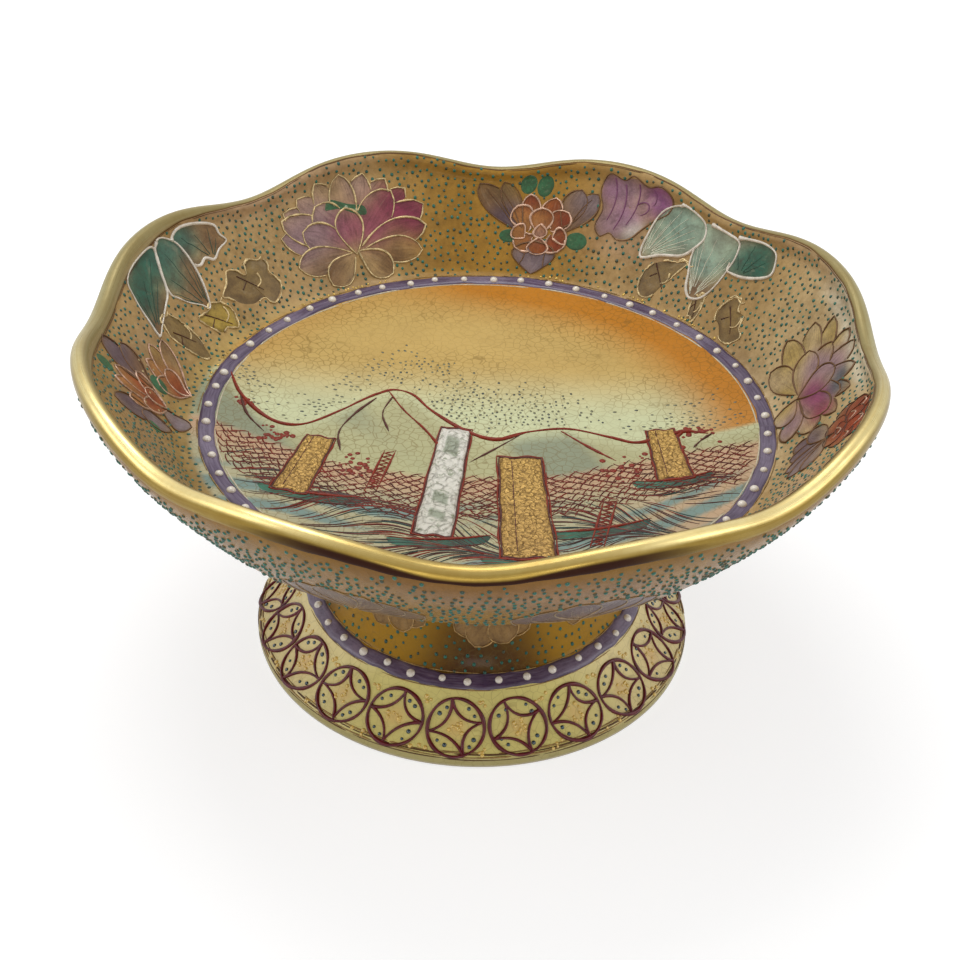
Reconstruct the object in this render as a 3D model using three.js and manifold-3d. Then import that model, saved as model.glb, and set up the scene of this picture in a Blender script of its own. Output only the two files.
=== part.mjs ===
// A footed bowl of glazed earthenware. The scalloped bowl and the hollow pedestal foot are made
// separately and luted together with slip, and the raised decoration is fired on afterwards.
// Millimetres, +Z up. The origin is on the table, at the middle of the foot.
import * as THREE from "three";
import Module from "manifold-3d";

const wasm = await Module();
wasm.setup();

// Pedestal foot
const footHeight = 53.6; // table to the top of the foot
const neckRadius = 36.5; // narrowest part of the stem
const stemFlare = 3.6; // neck out to the ledge that carries the foot's band
const ledgeWidth = 4.1; // ledge, measured level
const ledgeRise = 2.1; // how far the ledge climbs towards the stem
const skirtRun = 12.5; // ledge out to the foot's edge
const skirtRise = 10.4; // top of the edge up to the ledge
const skirtHollow = 0.7; // how far the skirt dips below a straight slope
const footEdge = 3.0; // height of the upright edge that stands on the table
const footWall = 5.0; // thickness of the foot's wall, and width of the ring that it stands on
const collarFlare = 7.8; // neck out to the collar under the bowl

// Luting ring between the foot and the bowl
const luteThickness = 0.8;
const luteInset = 0.4; // how far the ring stays back from the collar's edge
const seamGap = 0.3; // clearance between pieces that touch

// Bowl
const shoulderRadius = 77.9; // corner between the underside and the wall
const undersideDrop = 7.65; // shoulder down to the flat underside
const undersideMargin = 3.7; // flat underside beyond the collar
const floorThickness = 6.5;
const wallThickness = 5.0;
const wallRun = 14.55; // shoulder out to the middle of the lip
const bowlDepth = 26.2; // shoulder up to the middle of the lip
const lipRoll = 2.1; // radius of the finished lip, gilding included
const shoulderLean = 52; // degrees from level at which the wall leaves the shoulder
const shoulderTangentLength = 8.9; // how far the wall holds that lean
const lipTuck = 11; // degrees by which the wall leans back in under the lip
const lipTangentLength = 4.7; // how far the wall holds that tuck
const coveWidth = 5.0; // concave bend between the wall and the well
const wellDish = 2.5; // rise of the well from its flat middle to the bend
const wellFlat = 34; // radius of the flat middle

// Scallops round the lip
const lobeCount = 8;
const firstCrest = 21.5; // degrees from +X
const scallopRise = 2.23; // how far the lip waves up and down
const scallopRun = 0.93; // how far it waves in and out
const troughNip = 0.1; // share of a doubled wave that narrows the troughs
const scallopFade = 1.3; // power by which the wave dies out down the wall

// Gilding on the lip
const giltThickness = 0.3;
const giltOuterEdge = -30; // degrees round the lip, from level outside
const giltInnerEdge = 195;

// Enamel bands with white beads
const bandThickness = 0.5;
const bandMargin = 0.25; // foot's band stays this far inside its ledge
const wellBandWidth = 4.0;
const wellBandInset = 0.5; // middle of the band from the edge of the well, inwards
const wellBandDrift = 2.2; // how far the hand-drawn band lies off the bowl's axis
const wellBandDriftTurn = 30; // degrees from +X to the side that it lies towards
const beadRadius = 1.0;
const wellBeadPitch = 7.9;
const footBeadPitch = 7.0;

// Cash-coin roundels on the foot's skirt
const coinMargin = 1.05; // bare glaze between a coin and the ledge or edge
const coinSpacing = 0.8; // least distance between two coins
const coinLine = 0.8; // width of the raised slip line
const coinThickness = 0.5;
const coinWaist = 2.0; // middle of each diamond side from the coin's axes
const firstCoin = -93.3; // degrees from +X to the first coin
const coinFork = 10; // degrees either side of a diamond's tip where its line leaves the ring

// Raised sails in the painted well. Places are shares of the well's radius.
const sailThickness = 0.8;
const tallSailWidth = 11;
const tallSailLength = 40;
const whiteSailWidth = 8;
const whiteSailLength = 44;
const smallSailWidth = 7.5;
const leftSailLength = 24;
const rightSailLength = 21;
const sails = [
  { name: "tall", x: 0.16, y: -0.5, turn: 3, width: tallSailWidth, length: tallSailLength },
  { name: "white", x: -0.11, y: -0.36, turn: -5, width: whiteSailWidth, length: whiteSailLength },
  { name: "left", x: -0.59, y: -0.3, turn: -12, width: smallSailWidth, length: leftSailLength },
  { name: "right", x: 0.66, y: -0.16, turn: 6, width: smallSailWidth, length: rightSailLength },
];

// Fineness
const bowlSteps = 80;
const footSteps = 60;
const luteSteps = 40;
const wallSteps = 6;
const giltSteps = 5;
const bandSteps = 40;
const beadSides = 5;

// Values that follow from the sizes above
const undersideHeight = footHeight + luteThickness + 2 * seamGap;
const shoulderHeight = undersideHeight + undersideDrop;
const lipHeight = shoulderHeight + bowlDepth;
const lipRadius = shoulderRadius + wallRun;
const bareRoll = lipRoll - giltThickness - seamGap;
const wellHeight = undersideHeight + floorThickness;
const collarRadius = neckRadius + collarFlare;
const ledgeInner = neckRadius + stemFlare;
const ledgeOuter = ledgeInner + ledgeWidth;
const footRadius = ledgeOuter + skirtRun;
const ledgeHeight = footEdge + skirtRise;
const skirtSlope = Math.atan2(skirtRise, skirtRun);
const coinRadius = Math.hypot(skirtRun, skirtRise) / 2 - coinMargin;
const coinRing = ledgeOuter + skirtRun / 2;

const radians = THREE.MathUtils.degToRad;
const point = (r, z) => new THREE.Vector2(r, z);
const polar = (centre, radius, degrees) =>
  point(
    centre.x + radius * Math.cos(radians(degrees)),
    centre.y + radius * Math.sin(radians(degrees)),
  );

const glaze = { roughness: 0.25, metalness: 0 };
const materials = {
  bowl: new THREE.MeshStandardMaterial({ color: 0xc9a566, ...glaze }),
  foot: new THREE.MeshStandardMaterial({ color: 0xe0d796, ...glaze }),
  slip: new THREE.MeshStandardMaterial({ color: 0xcdb488, roughness: 0.7, metalness: 0 }),
  lavender: new THREE.MeshStandardMaterial({ color: 0x7b6a9c, ...glaze }),
  maroon: new THREE.MeshStandardMaterial({ color: 0x6b1f26, ...glaze }),
  white: new THREE.MeshStandardMaterial({ color: 0xd9dad2, roughness: 0.5, metalness: 0 }),
  gilt: new THREE.MeshStandardMaterial({ color: 0xb58a3a, roughness: 0.35, metalness: 1 }),
};

const model = new THREE.Group();

function addPiece(name, geometry, material) {
  const mesh = new THREE.Mesh(geometry, material);
  mesh.name = name;
  model.add(mesh);
}

// A profile of radius and height, turned about +Z.
function turned(profile, steps) {
  return new THREE.LatheGeometry(profile, steps).rotateX(Math.PI / 2);
}

// The scallops: a wave round the lip that dies out at the shoulder.
function scalloped(geometry) {
  const position = geometry.getAttribute("position");
  for (let i = 0; i < position.count; i++) {
    const x = position.getX(i);
    const y = position.getY(i);
    const z = position.getZ(i);
    const radius = Math.hypot(x, y);
    const phase = lobeCount * (Math.atan2(y, x) - radians(firstCrest));
    const wave = Math.cos(phase) - troughNip * Math.cos(2 * phase);
    const share = THREE.MathUtils.clamp((z - shoulderHeight) / bowlDepth, 0, 1);
    const weight = wave * share ** scallopFade;
    const stretch = radius > 0 ? 1 + (scallopRun * weight) / radius : 1;
    position.setXYZ(i, x * stretch, y * stretch, z + scallopRise * weight);
  }
  return geometry;
}

// A copy of a line of points, moved sideways by distance(share), to the left of its direction.
function beside(line, distance) {
  return line.map((p, i) => {
    const before = line[Math.max(i - 1, 0)];
    const after = line[Math.min(i + 1, line.length - 1)];
    const along = after.clone().sub(before).normalize();
    const left = point(-along.y, along.x);
    return p.clone().addScaledVector(left, distance(i / (line.length - 1)));
  });
}

// The point of a surface line at a radius, lifted off it square to the line.
function liftedAt(line, radius, lift) {
  for (let i = 1; i < line.length; i++) {
    const [a, b] = [line[i - 1], line[i]];
    if ((a.x - radius) * (b.x - radius) > 0) continue;
    const along = b.clone().sub(a).normalize();
    const normal = point(along.y, -along.x);
    if (normal.y < 0) normal.negate();
    const share = a.x === b.x ? 0 : (radius - a.x) / (b.x - a.x);
    return a.clone().lerp(b, share).addScaledVector(normal, lift);
  }
  throw new Error("no surface at radius " + radius);
}

// Bowl: the underside, the outer wall, the rolled lip, the inner wall and the well.
const shoulder = point(shoulderRadius, shoulderHeight);
const lip = point(lipRadius, lipHeight);
const undersideFlat = collarRadius + undersideMargin;
const underside = new THREE.QuadraticBezierCurve(
  point(undersideFlat, undersideHeight),
  point((undersideFlat + shoulderRadius) / 2, undersideHeight + undersideDrop / 6),
  shoulder,
).getPoints(2);
const lipOutside = polar(lip, bareRoll, 0);
const outerWall = new THREE.CubicBezierCurve(
  shoulder,
  polar(shoulder, shoulderTangentLength, shoulderLean),
  polar(lipOutside, lipTangentLength, lipTuck - 90),
  lipOutside,
).getPoints(wallSteps);
const innerWall = beside(outerWall, (share) =>
  THREE.MathUtils.lerp(wallThickness, 2 * bareRoll, THREE.MathUtils.smoothstep(share, 0.35, 0.85)),
).reverse();
const wallFoot = innerWall[innerWall.length - 1];
const wellEdge = point(wallFoot.x - coveWidth, wellHeight + wellDish);
const coveCorner = point(
  wallFoot.x - (wallFoot.y - wellEdge.y) / Math.tan(radians(shoulderLean)),
  wellEdge.y,
);
const cove = new THREE.QuadraticBezierCurve(wallFoot, coveCorner, wellEdge).getPoints(3);
const wellMiddle = (wellEdge.x + wellFlat) / 2;
const well = [
  point(wellMiddle, wellHeight + wellDish / 4),
  point(wellFlat, wellHeight),
  point(0, wellHeight),
];
const lipArc = [45, 90, 135].map((degrees) => polar(lip, bareRoll, degrees));
const bowlProfile = [
  point(0, undersideHeight),
  ...underside,
  ...outerWall.slice(1),
  ...lipArc,
  ...innerWall,
  ...cove.slice(1),
  ...well,
];
addPiece("bowl_shell", scalloped(turned(bowlProfile, bowlSteps)), materials.bowl);

// Gilding: a thin cap over the lip.
function giltArc(radius, from, to) {
  return Array.from({ length: giltSteps + 1 }, (_, i) =>
    polar(lip, radius, THREE.MathUtils.lerp(from, to, i / giltSteps)),
  );
}
const giltProfile = [
  ...giltArc(lipRoll, giltOuterEdge, giltInnerEdge),
  ...giltArc(lipRoll - giltThickness, giltInnerEdge, giltOuterEdge),
];
giltProfile.push(giltProfile[0].clone());
addPiece("rim_gilding", scalloped(turned(giltProfile, bowlSteps)), materials.gilt);

// Pedestal foot: upright edge, skirt, ledge and stem outside, the same line one wall further in.
const edgeTop = point(footRadius, footEdge);
const ledgeStart = point(ledgeOuter, ledgeHeight);
const ledgeEnd = point(ledgeInner, ledgeHeight + ledgeRise);
const footTop = point(collarRadius, footHeight);
const neckHeight = (ledgeEnd.y + footHeight) / 2;
const neck = point(neckRadius, neckHeight);
const skirtMiddle = edgeTop.clone().lerp(ledgeStart, 0.5);
skirtMiddle.y -= 2 * skirtHollow;
const skirt = new THREE.QuadraticBezierCurve(edgeTop, skirtMiddle, ledgeStart).getPoints(3);
const stem = new THREE.QuadraticBezierCurve(
  ledgeEnd,
  point(neckRadius, ledgeEnd.y + stemFlare),
  neck,
).getPoints(2);
const flare = new THREE.QuadraticBezierCurve(
  neck,
  point(neckRadius, footHeight - collarFlare),
  footTop,
).getPoints(3);
const footOutside = [...skirt, ...stem, ...flare.slice(1)];
const footInside = beside(footOutside, () => footWall).reverse();
const collarInside = point(footInside[0].x, footHeight);
const footProfile = [
  point(footRadius - footWall, 0),
  point(footRadius, 0),
  ...footOutside,
  collarInside,
  ...footInside.filter((p) => p.y < footHeight && p.y > footEdge / 2),
  point(footRadius - footWall, 0),
];
addPiece("pedestal_foot", turned(footProfile, footSteps), materials.foot);

// Luting ring: the slip that joins the collar to the underside of the bowl.
const luteBottom = footHeight + seamGap;
const luteTop = luteBottom + luteThickness;
const luteInner = collarInside.x + luteInset;
const luteOuter = collarRadius - luteInset;
const luteProfile = [
  point(luteInner, luteBottom),
  point(luteOuter, luteBottom),
  point(luteOuter + luteInset / 2, (luteBottom + luteTop) / 2),
  point(luteOuter, luteTop),
  point(luteInner, luteTop),
  point(luteInner, luteBottom),
];
addPiece("luting_ring", turned(luteProfile, luteSteps), materials.slip);

// A closed mesh as a solid, and a solid as a mesh's geometry.
function solidOf(geometry) {
  const keys = new Map();
  const corners = [];
  const index = geometry.index ? [...geometry.index.array] : null;
  const position = geometry.getAttribute("position");
  const order = index ?? Array.from({ length: position.count }, (_, i) => i);
  const triVerts = order.map((i) => {
    const p = [position.getX(i), position.getY(i), position.getZ(i)];
    const key = p.map((v) => v.toFixed(4)).join();
    if (!keys.has(key)) {
      keys.set(key, keys.size);
      corners.push(...p);
    }
    return keys.get(key);
  });
  return new wasm.Manifold(
    new wasm.Mesh({
      numProp: 3,
      vertProperties: new Float32Array(corners),
      triVerts: new Uint32Array(triVerts),
    }),
  );
}

function geometryOf(solid) {
  const mesh = solid.getMesh();
  return new THREE.BufferGeometry()
    .setAttribute("position", new THREE.BufferAttribute(mesh.vertProperties, 3))
    .setIndex(new THREE.BufferAttribute(mesh.triVerts, 1));
}

// A band laid on a surface line: radiusAt(angle) is its middle, and it lies one gap off the glaze.
function bandGeometry(line, width, radiusAt) {
  const shares = [-0.5, 0, 0.5];
  const corners = [];
  const faces = [];
  const sides = 2 * shares.length;
  for (let step = 0; step < bandSteps; step++) {
    const angle = (2 * Math.PI * step) / bandSteps;
    const radius = radiusAt(angle);
    const under = shares.map((share) => liftedAt(line, radius + share * width, seamGap));
    const over = shares.map((share) =>
      liftedAt(line, radius + share * width, seamGap + bandThickness),
    );
    for (const p of [...under, ...over.reverse()]) {
      corners.push(p.x * Math.cos(angle), p.x * Math.sin(angle), p.y);
    }
    for (let side = 0; side < sides; side++) {
      const next = (side + 1) % sides;
      const here = step * sides;
      const there = ((step + 1) % bandSteps) * sides;
      faces.push(here + side, there + side, there + next);
      faces.push(here + side, there + next, here + next);
    }
  }
  return new THREE.BufferGeometry()
    .setAttribute("position", new THREE.Float32BufferAttribute(corners, 3))
    .setIndex(faces);
}

// A bead: a low dome with its flat side down.
function beadGeometry() {
  const base = point(0, 0);
  const dome = [0, 45, 90].map((degrees) => polar(base, beadRadius, degrees));
  return turned([base, ...dome], beadSides);
}

// A band with its beads, which melt into it in the kiln.
function beadedBand(line, width, pitch, radiusAt) {
  const beadCount = Math.floor((2 * Math.PI * radiusAt(Math.PI / 2)) / pitch);
  const solids = [solidOf(bandGeometry(line, width, radiusAt))];
  for (let i = 0; i < beadCount; i++) {
    const angle = (2 * Math.PI * (i + 0.5)) / beadCount;
    const seat = liftedAt(line, radiusAt(angle), seamGap + bandThickness / 2);
    solids.push(solidOf(beadGeometry().translate(seat.x, 0, seat.y).rotateZ(angle)));
  }
  return geometryOf(wasm.Manifold.union(solids));
}

const wellLine = [...cove, ...well];
const wellBandRadius = wellEdge.x - wellBandInset;
addPiece(
  "well_band",
  beadedBand(
    [...innerWall.slice(-3, -1), ...wellLine],
    wellBandWidth,
    wellBeadPitch,
    (angle) => wellBandRadius + wellBandDrift * Math.cos(angle - radians(wellBandDriftTurn)),
  ),
  materials.lavender,
);
addPiece(
  "foot_band",
  beadedBand(
    [ledgeStart, ledgeEnd],
    ledgeWidth - 2 * bandMargin,
    footBeadPitch,
    () => (ledgeInner + ledgeOuter) / 2,
  ),
  materials.lavender,
);

// One cash coin drawn flat: a ring round a diamond with hollow sides.
function coinShape() {
  const inner = coinRadius - coinLine;
  const tip = inner - coinLine;
  const centre = point(0, 0);
  const corner = (radius, degrees) => polar(centre, radius, degrees);
  const rim = Array.from({ length: 16 }, (_, i) => corner(coinRadius, 22.5 * i));
  const shape = new THREE.Shape(rim);
  const diamond = [0, 90, 180, 270].flatMap((degrees) => [
    corner(tip, degrees),
    corner(coinWaist * Math.SQRT2, degrees + 45),
  ]);
  shape.holes.push(new THREE.Path(diamond));
  for (const degrees of [0, 90, 180, 270]) {
    const arc = [coinFork, 45, 90 - coinFork].map((turn) => corner(inner, degrees + turn));
    const bend = corner((coinWaist + coinLine) * Math.SQRT2, degrees + 45);
    shape.holes.push(new THREE.Path([...arc, bend]));
  }
  return shape;
}

// The flat coin laid on the skirt: x runs round the foot and y runs up the slope.
function coinGeometry(angle) {
  const geometry = new THREE.ExtrudeGeometry(coinShape(), {
    depth: coinThickness,
    bevelEnabled: false,
  });
  const position = geometry.getAttribute("position");
  for (let i = 0; i < position.count; i++) {
    const radius = coinRing - position.getY(i) * Math.cos(skirtSlope);
    const p = liftedAt(skirt, radius, seamGap + position.getZ(i));
    const turn = angle + position.getX(i) / radius;
    position.setXYZ(i, p.x * Math.cos(turn), p.x * Math.sin(turn), p.y);
  }
  return geometry;
}

const coinCount = Math.floor((2 * Math.PI * coinRing) / (2 * coinRadius + coinSpacing));
for (let i = 0; i < coinCount; i++) {
  const angle = (2 * Math.PI * i) / coinCount + radians(firstCoin);
  const name = "coin_roundel_" + String(i + 1).padStart(2, "0");
  addPiece(name, coinGeometry(angle), materials.maroon);
}

// Raised sails, laid on the well one gap off its glaze.
for (const sail of sails) {
  const geometry = new THREE.BoxGeometry(sail.width, sail.length, sailThickness, 1, 4, 1)
    .rotateZ(radians(sail.turn))
    .translate(sail.x * wellEdge.x, sail.y * wellEdge.x, sailThickness / 2);
  const position = geometry.getAttribute("position");
  for (let i = 0; i < position.count; i++) {
    const radius = Math.hypot(position.getX(i), position.getY(i));
    position.setZ(i, position.getZ(i) + liftedAt(wellLine, radius, 0).y + seamGap);
  }
  addPiece("sail_relief_" + sail.name, geometry, materials[sail.name] ?? materials.gilt);
}

export default model;
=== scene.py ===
import math

import bpy
import numpy as np
from mathutils import Matrix, Vector


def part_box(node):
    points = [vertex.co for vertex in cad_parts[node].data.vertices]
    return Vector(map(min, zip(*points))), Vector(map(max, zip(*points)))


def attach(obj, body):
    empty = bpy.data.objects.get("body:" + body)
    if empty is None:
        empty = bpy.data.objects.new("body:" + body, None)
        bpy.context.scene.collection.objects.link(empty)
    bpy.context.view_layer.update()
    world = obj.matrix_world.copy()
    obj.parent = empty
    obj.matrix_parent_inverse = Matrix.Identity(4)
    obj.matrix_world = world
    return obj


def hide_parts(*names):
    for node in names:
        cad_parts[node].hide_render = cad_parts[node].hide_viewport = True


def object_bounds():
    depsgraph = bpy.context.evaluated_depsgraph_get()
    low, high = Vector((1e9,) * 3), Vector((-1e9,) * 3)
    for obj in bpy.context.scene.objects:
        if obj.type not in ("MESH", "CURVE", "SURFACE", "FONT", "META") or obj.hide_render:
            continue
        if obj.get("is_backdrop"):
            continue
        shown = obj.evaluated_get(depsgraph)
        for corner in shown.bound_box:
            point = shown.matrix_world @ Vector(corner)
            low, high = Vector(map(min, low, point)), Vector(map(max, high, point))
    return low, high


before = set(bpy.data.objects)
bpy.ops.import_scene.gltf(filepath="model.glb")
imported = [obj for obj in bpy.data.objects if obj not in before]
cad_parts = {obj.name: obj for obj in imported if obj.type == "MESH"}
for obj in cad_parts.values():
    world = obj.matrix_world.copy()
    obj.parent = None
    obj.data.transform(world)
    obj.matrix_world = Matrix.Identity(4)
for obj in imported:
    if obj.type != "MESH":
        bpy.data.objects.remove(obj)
cad_box = [list(corner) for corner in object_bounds()]

# Bowl shell.
# One pressed earthenware bowl with eight soft scallops, glazed in cream that has crackled all over.
# The ground colours of the wall and of the well are painted on it before the enamels.
MM = 0.001
lobe_count = 8
first_crest = math.radians(21.5)
scallop_rise = 2.23
scallop_run = 0.93
trough_nip = 0.1
scallop_fade = 1.3
underside_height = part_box("bowl_shell")[0].z / MM
shoulder_radius = 77.9
shoulder_height = underside_height + 7.65
shoulder_lean = math.radians(52)
shoulder_tangent = 8.9
lip_height = shoulder_height + 26.2
lip_radius = shoulder_radius + 14.55
lip_roll = 2.1
lip_tuck = math.radians(11)
lip_tangent = 4.7
wall_thickness = 5.0
wall_steps = 70
wall_parting = 46
parting_pull = 7
lip_pull = 2.4
lip_steps = 25
floor_thickness = 6.5
well_dish = 2.5
well_flat = 34.0
cove_width = 5.0
collar_radius = 44.3
underside_margin = 3.7
underside_bulge = 1.275
underside_steps = 30
cove_steps = 16
floor_steps = 90
pole_radius = 0.4
shell_turns = 432


def bend(points, steps):
    """A Bezier curve from its first point to its last."""
    layer = [np.array(point, float) for point in points]
    share = np.linspace(0, 1, steps)[:, None]
    while len(layer) > 1:
        layer = [a * (1 - share) + b * share for a, b in zip(layer, layer[1:])]
    return layer[0]


def ease(value, low, high):
    """0 below low, 1 above high, and a smooth step between."""
    share = np.clip((np.asarray(value, float) - low) / (high - low), 0, 1)
    return share * share * (3 - 2 * share)


def face_line(points, datum, side):
    """A section line with its run in mm from the datum point; side is +1 where its left faces out."""
    points = np.array(points, float)
    step = np.linalg.norm(np.diff(points, axis=0), axis=1)
    run = np.concatenate([[0], np.cumsum(step)])
    run -= run[datum]
    return {"run": run, "radius": points[:, 0], "height": points[:, 1], "side": side}


def scalloped(angle, radius, height):
    """The same ring with its share of the eight lobes."""
    phase = lobe_count * (angle - first_crest)
    wave = np.cos(phase) - trough_nip * np.cos(2 * phase)
    share = np.clip((height - shoulder_height) / (lip_height - shoulder_height), 0, 1.2)
    weight = wave * share**scallop_fade
    return radius + scallop_run * weight, height + scallop_rise * weight


def spot(line, angle, run):
    """Points of the glazed face, at an angle round the axis and a run along the section."""
    angle, run = np.broadcast_arrays(np.asarray(angle, float), np.asarray(run, float))
    radius = np.interp(run, line["run"], line["radius"])
    height = np.interp(run, line["run"], line["height"])
    radius, height = scalloped(angle, radius, height)
    return np.stack([radius * np.cos(angle), radius * np.sin(angle), height], -1)


def facing(line, angle, run):
    """The unit normal out of the glaze."""
    turn = 0.004
    step = 0.3
    across = spot(line, angle + turn, run) - spot(line, angle - turn, run)
    along = spot(line, angle, run + step) - spot(line, angle, run - step)
    normal = line["side"] * np.cross(along, across)
    return normal / np.maximum(np.linalg.norm(normal, axis=-1, keepdims=True), 1e-9)


def on(line, angle, run, lift):
    """Points raised off the glaze by a lift in mm."""
    lift = np.asarray(lift, float)
    return spot(line, angle, run) + facing(line, angle, run) * lift[..., None]


def towards(angle, degrees, low, high=1.0):
    """1 towards a direction round the axis, in degrees, and 0 away from it; low and high are cosines."""
    return ease(np.cos(angle - math.radians(degrees)), low, high)


def ink(code):
    """A painted colour, written as hex, in linear light."""
    value = np.array([int(code[i : i + 2], 16) for i in (0, 2, 4)]) / 255
    return np.where(value <= 0.04045, value / 12.92, ((value + 0.055) / 1.055) ** 2.4)


def mixed(first, second, share):
    """Two colours mixed by a share that may vary over the points."""
    share = np.asarray(share, float)[..., None]
    return first * (1 - share) + second * share


lip_outside = np.array([lip_radius + lip_roll, lip_height])
shoulder = np.array([shoulder_radius, shoulder_height])
leaning = np.array([math.cos(shoulder_lean), math.sin(shoulder_lean)])
tucked = np.array([math.sin(lip_tuck), -math.cos(lip_tuck)])
outer_wall = bend(
    [shoulder, shoulder + shoulder_tangent * leaning, lip_outside + lip_tangent * tucked, lip_outside],
    wall_steps)
heading = np.gradient(outer_wall, axis=0)
heading /= np.linalg.norm(heading, axis=1)[:, None]
inward = np.stack([-heading[:, 1], heading[:, 0]], 1)
thinning = ease(np.linspace(0, 1, wall_steps), 0.35, 0.85)
thickness = wall_thickness + (2 * lip_roll - wall_thickness) * thinning
inner_wall = outer_wall + inward * thickness[:, None]
parting = inner_wall[wall_parting]
climbing = parting + parting_pull * np.gradient(inner_wall, axis=0)[wall_parting]
upright = np.array([lip_radius - lip_roll, lip_height])
upper_wall = bend([parting, climbing, upright - [0, lip_pull], upright], wall_steps - wall_parting)
inner_wall = np.vstack([inner_wall[:wall_parting], upper_wall])
lip_turn = np.linspace(0, math.pi, lip_steps)
lip_half = lip_steps // 2
lip_arc = [lip_radius, lip_height] + lip_roll * np.stack([np.cos(lip_turn), np.sin(lip_turn)], 1)
wall_foot = inner_wall[0]
well_height = underside_height + floor_thickness
edge_height = well_height + well_dish
well_edge = np.array([wall_foot[0] - cove_width, edge_height])
cove_corner = np.array([wall_foot[0] - (wall_foot[1] - edge_height) / math.tan(shoulder_lean), edge_height])
cove = bend([well_edge, cove_corner, wall_foot], cove_steps)
floor_radius = np.linspace(0, well_edge[0], floor_steps)
floor_rise = np.clip((floor_radius - well_flat) / (well_edge[0] - well_flat), 0, 1) ** 2
well_floor = np.stack([floor_radius, well_height + well_dish * floor_rise], 1)
ring_edge = collar_radius + underside_margin
sweep_middle = ((ring_edge + shoulder_radius) / 2, underside_height + underside_bulge)
sweep = bend([(ring_edge, underside_height), sweep_middle, shoulder], underside_steps)
flat_ring = np.linspace(0, ring_edge, underside_steps)
underside = np.stack([flat_ring, np.full(underside_steps, underside_height)], 1)

inside_points = np.vstack([well_floor[:-1], cove[:-1], inner_wall, lip_arc[::-1][1 : lip_half + 1]])
inside = face_line(inside_points, len(well_floor) - 1, 1)
outside_points = np.vstack([underside[:-1], sweep[:-1], outer_wall, lip_arc[1 : lip_half + 1]])
outside = face_line(outside_points, len(underside) + len(sweep) - 2, -1)

sky_orange = ink("c6812a")
sky_cream = ink("ceae68")
sky_celadon = ink("d3d7ac")
shallow_wash = ink("cba988")
deep_wash = ink("bbb592")
sea_wash = ink("839a92")
hill_celadon = ink("bcba8e")
hill_slate = ink("8a9480")
wall_tan = ink("c5a470")
wall_amber = ink("b08330")
wall_pink = ink("bd9c82")
wall_straw = ink("bfa35c")
wall_worn = ink("d8ccb0")
wall_painted_light = ink("cdb78c")
wall_painted_shade = ink("8c7040")
outer_tan = ink("9d7433")
outer_pink = ink("966b3e")
under_amber = ink("936c26")
wall_crackle = 0.3

hill_points = [
    (-64, 18), (-60, 8), (-54, 0), (-48, -4), (-42, -3), (-34, 4), (-27, 11), (-22, 14), (-17, 12),
    (-12, 5), (-4, -3), (4, -7), (12, -3), (22, -1), (32, -4), (38, -6), (44, -4), (50, -1), (56, -2),
    (68, 2)]
shore_points = [
    (-68, -4), (-50, -12), (-35, -19), (-15, -23), (5, -23), (20, -21), (35, -15), (48, -10), (68, -6)]


def hills(x):
    """The skyline of the hills in the well, at x mm to the right."""
    return np.interp(x, *zip(*hill_points))


def shore(x):
    """How far across the well the hills meet the water."""
    return np.interp(x, *zip(*shore_points))


def well_ground(x, y):
    """The ground of the picture in the well: an evening sky over pale hills and water."""
    sky = mixed(sky_celadon, sky_cream, ease(y, 2, 30))
    edge = np.hypot(x, y)
    low_sun = ease(x * 0.8 + y * 0.6, 8, 48) * ease(edge, 44, 66)
    far_rim = ease(edge, 52, 69) * ease(y, 4, 34)
    sky = mixed(sky, sky_orange, np.clip(0.95 * low_sun + 0.3 * far_rim, 0, 1))
    slope = mixed(hill_celadon, hill_slate, 0.8 * ease(np.sin(x / 6 + y / 8) + np.sin(x / 11), -0.3, 1.3))
    slope = mixed(slope, sky_celadon, ease(hills(x) - y, 6, 0) * 0.7)
    water = mixed(shallow_wash, deep_wash, ease(shore(x) - y, 3, 14) * (1 - 0.85 * ease(x, 24, 56)))
    strand = np.sin((shore(x) - y) / 1.3 + 2.2 * np.sin(x / 9) + x / 6)
    deep = ease(strand + np.sin((shore(x) - y) / 5 + x / 17), 0.0, 1.2) * ease(shore(x) - y, 8, 16)
    water = mixed(water, sea_wash, deep)
    ground = mixed(slope, sky, ease(y - hills(x), -1.2, 0.6))
    return mixed(water, ground, ease(y - shore(x), -2.5, 1.5))


def wall_ground(angle, run):
    """The tan ground of the inner wall, with amber, straw and pink passages, painted shade on its near left
    and far right, and painted light on its right.
    """
    colour = mixed(wall_tan, wall_pink, 0.55 * ease(np.sin(3 * angle + 0.9) * np.cos(run / 6), 0.1, 0.9))
    colour = mixed(colour, wall_amber, 0.9 * towards(angle, 88, 0.9))
    colour = mixed(colour, wall_straw, 0.7 * ease(run, 9, 2) * towards(angle, 175, 0.3))
    # Painted shade on the near left and the far right of the wall, and painted light on its right.
    colour = mixed(colour, wall_painted_shade, 0.6 * towards(angle, 212, 0.6))
    colour = mixed(colour, wall_painted_shade, 0.3 * towards(angle, 38, 0.88))
    colour = mixed(colour, wall_painted_light, 0.7 * towards(angle, 2, 0.86))
    worn = towards(angle, 4, 0.955, 0.99) * ease(run + np.sin(61 * angle) * 0.4, 27.5, 30.5)
    return mixed(colour, wall_worn, worn)


def outer_ground(angle, run):
    """The tan ground of the outer wall, which turns to amber under the bowl."""
    colour = mixed(outer_tan, outer_pink, 0.7 * ease(np.sin(5 * angle + run / 9), -0.2, 0.9))
    return mixed(under_amber, colour, ease(run, -9, -2))


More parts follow.
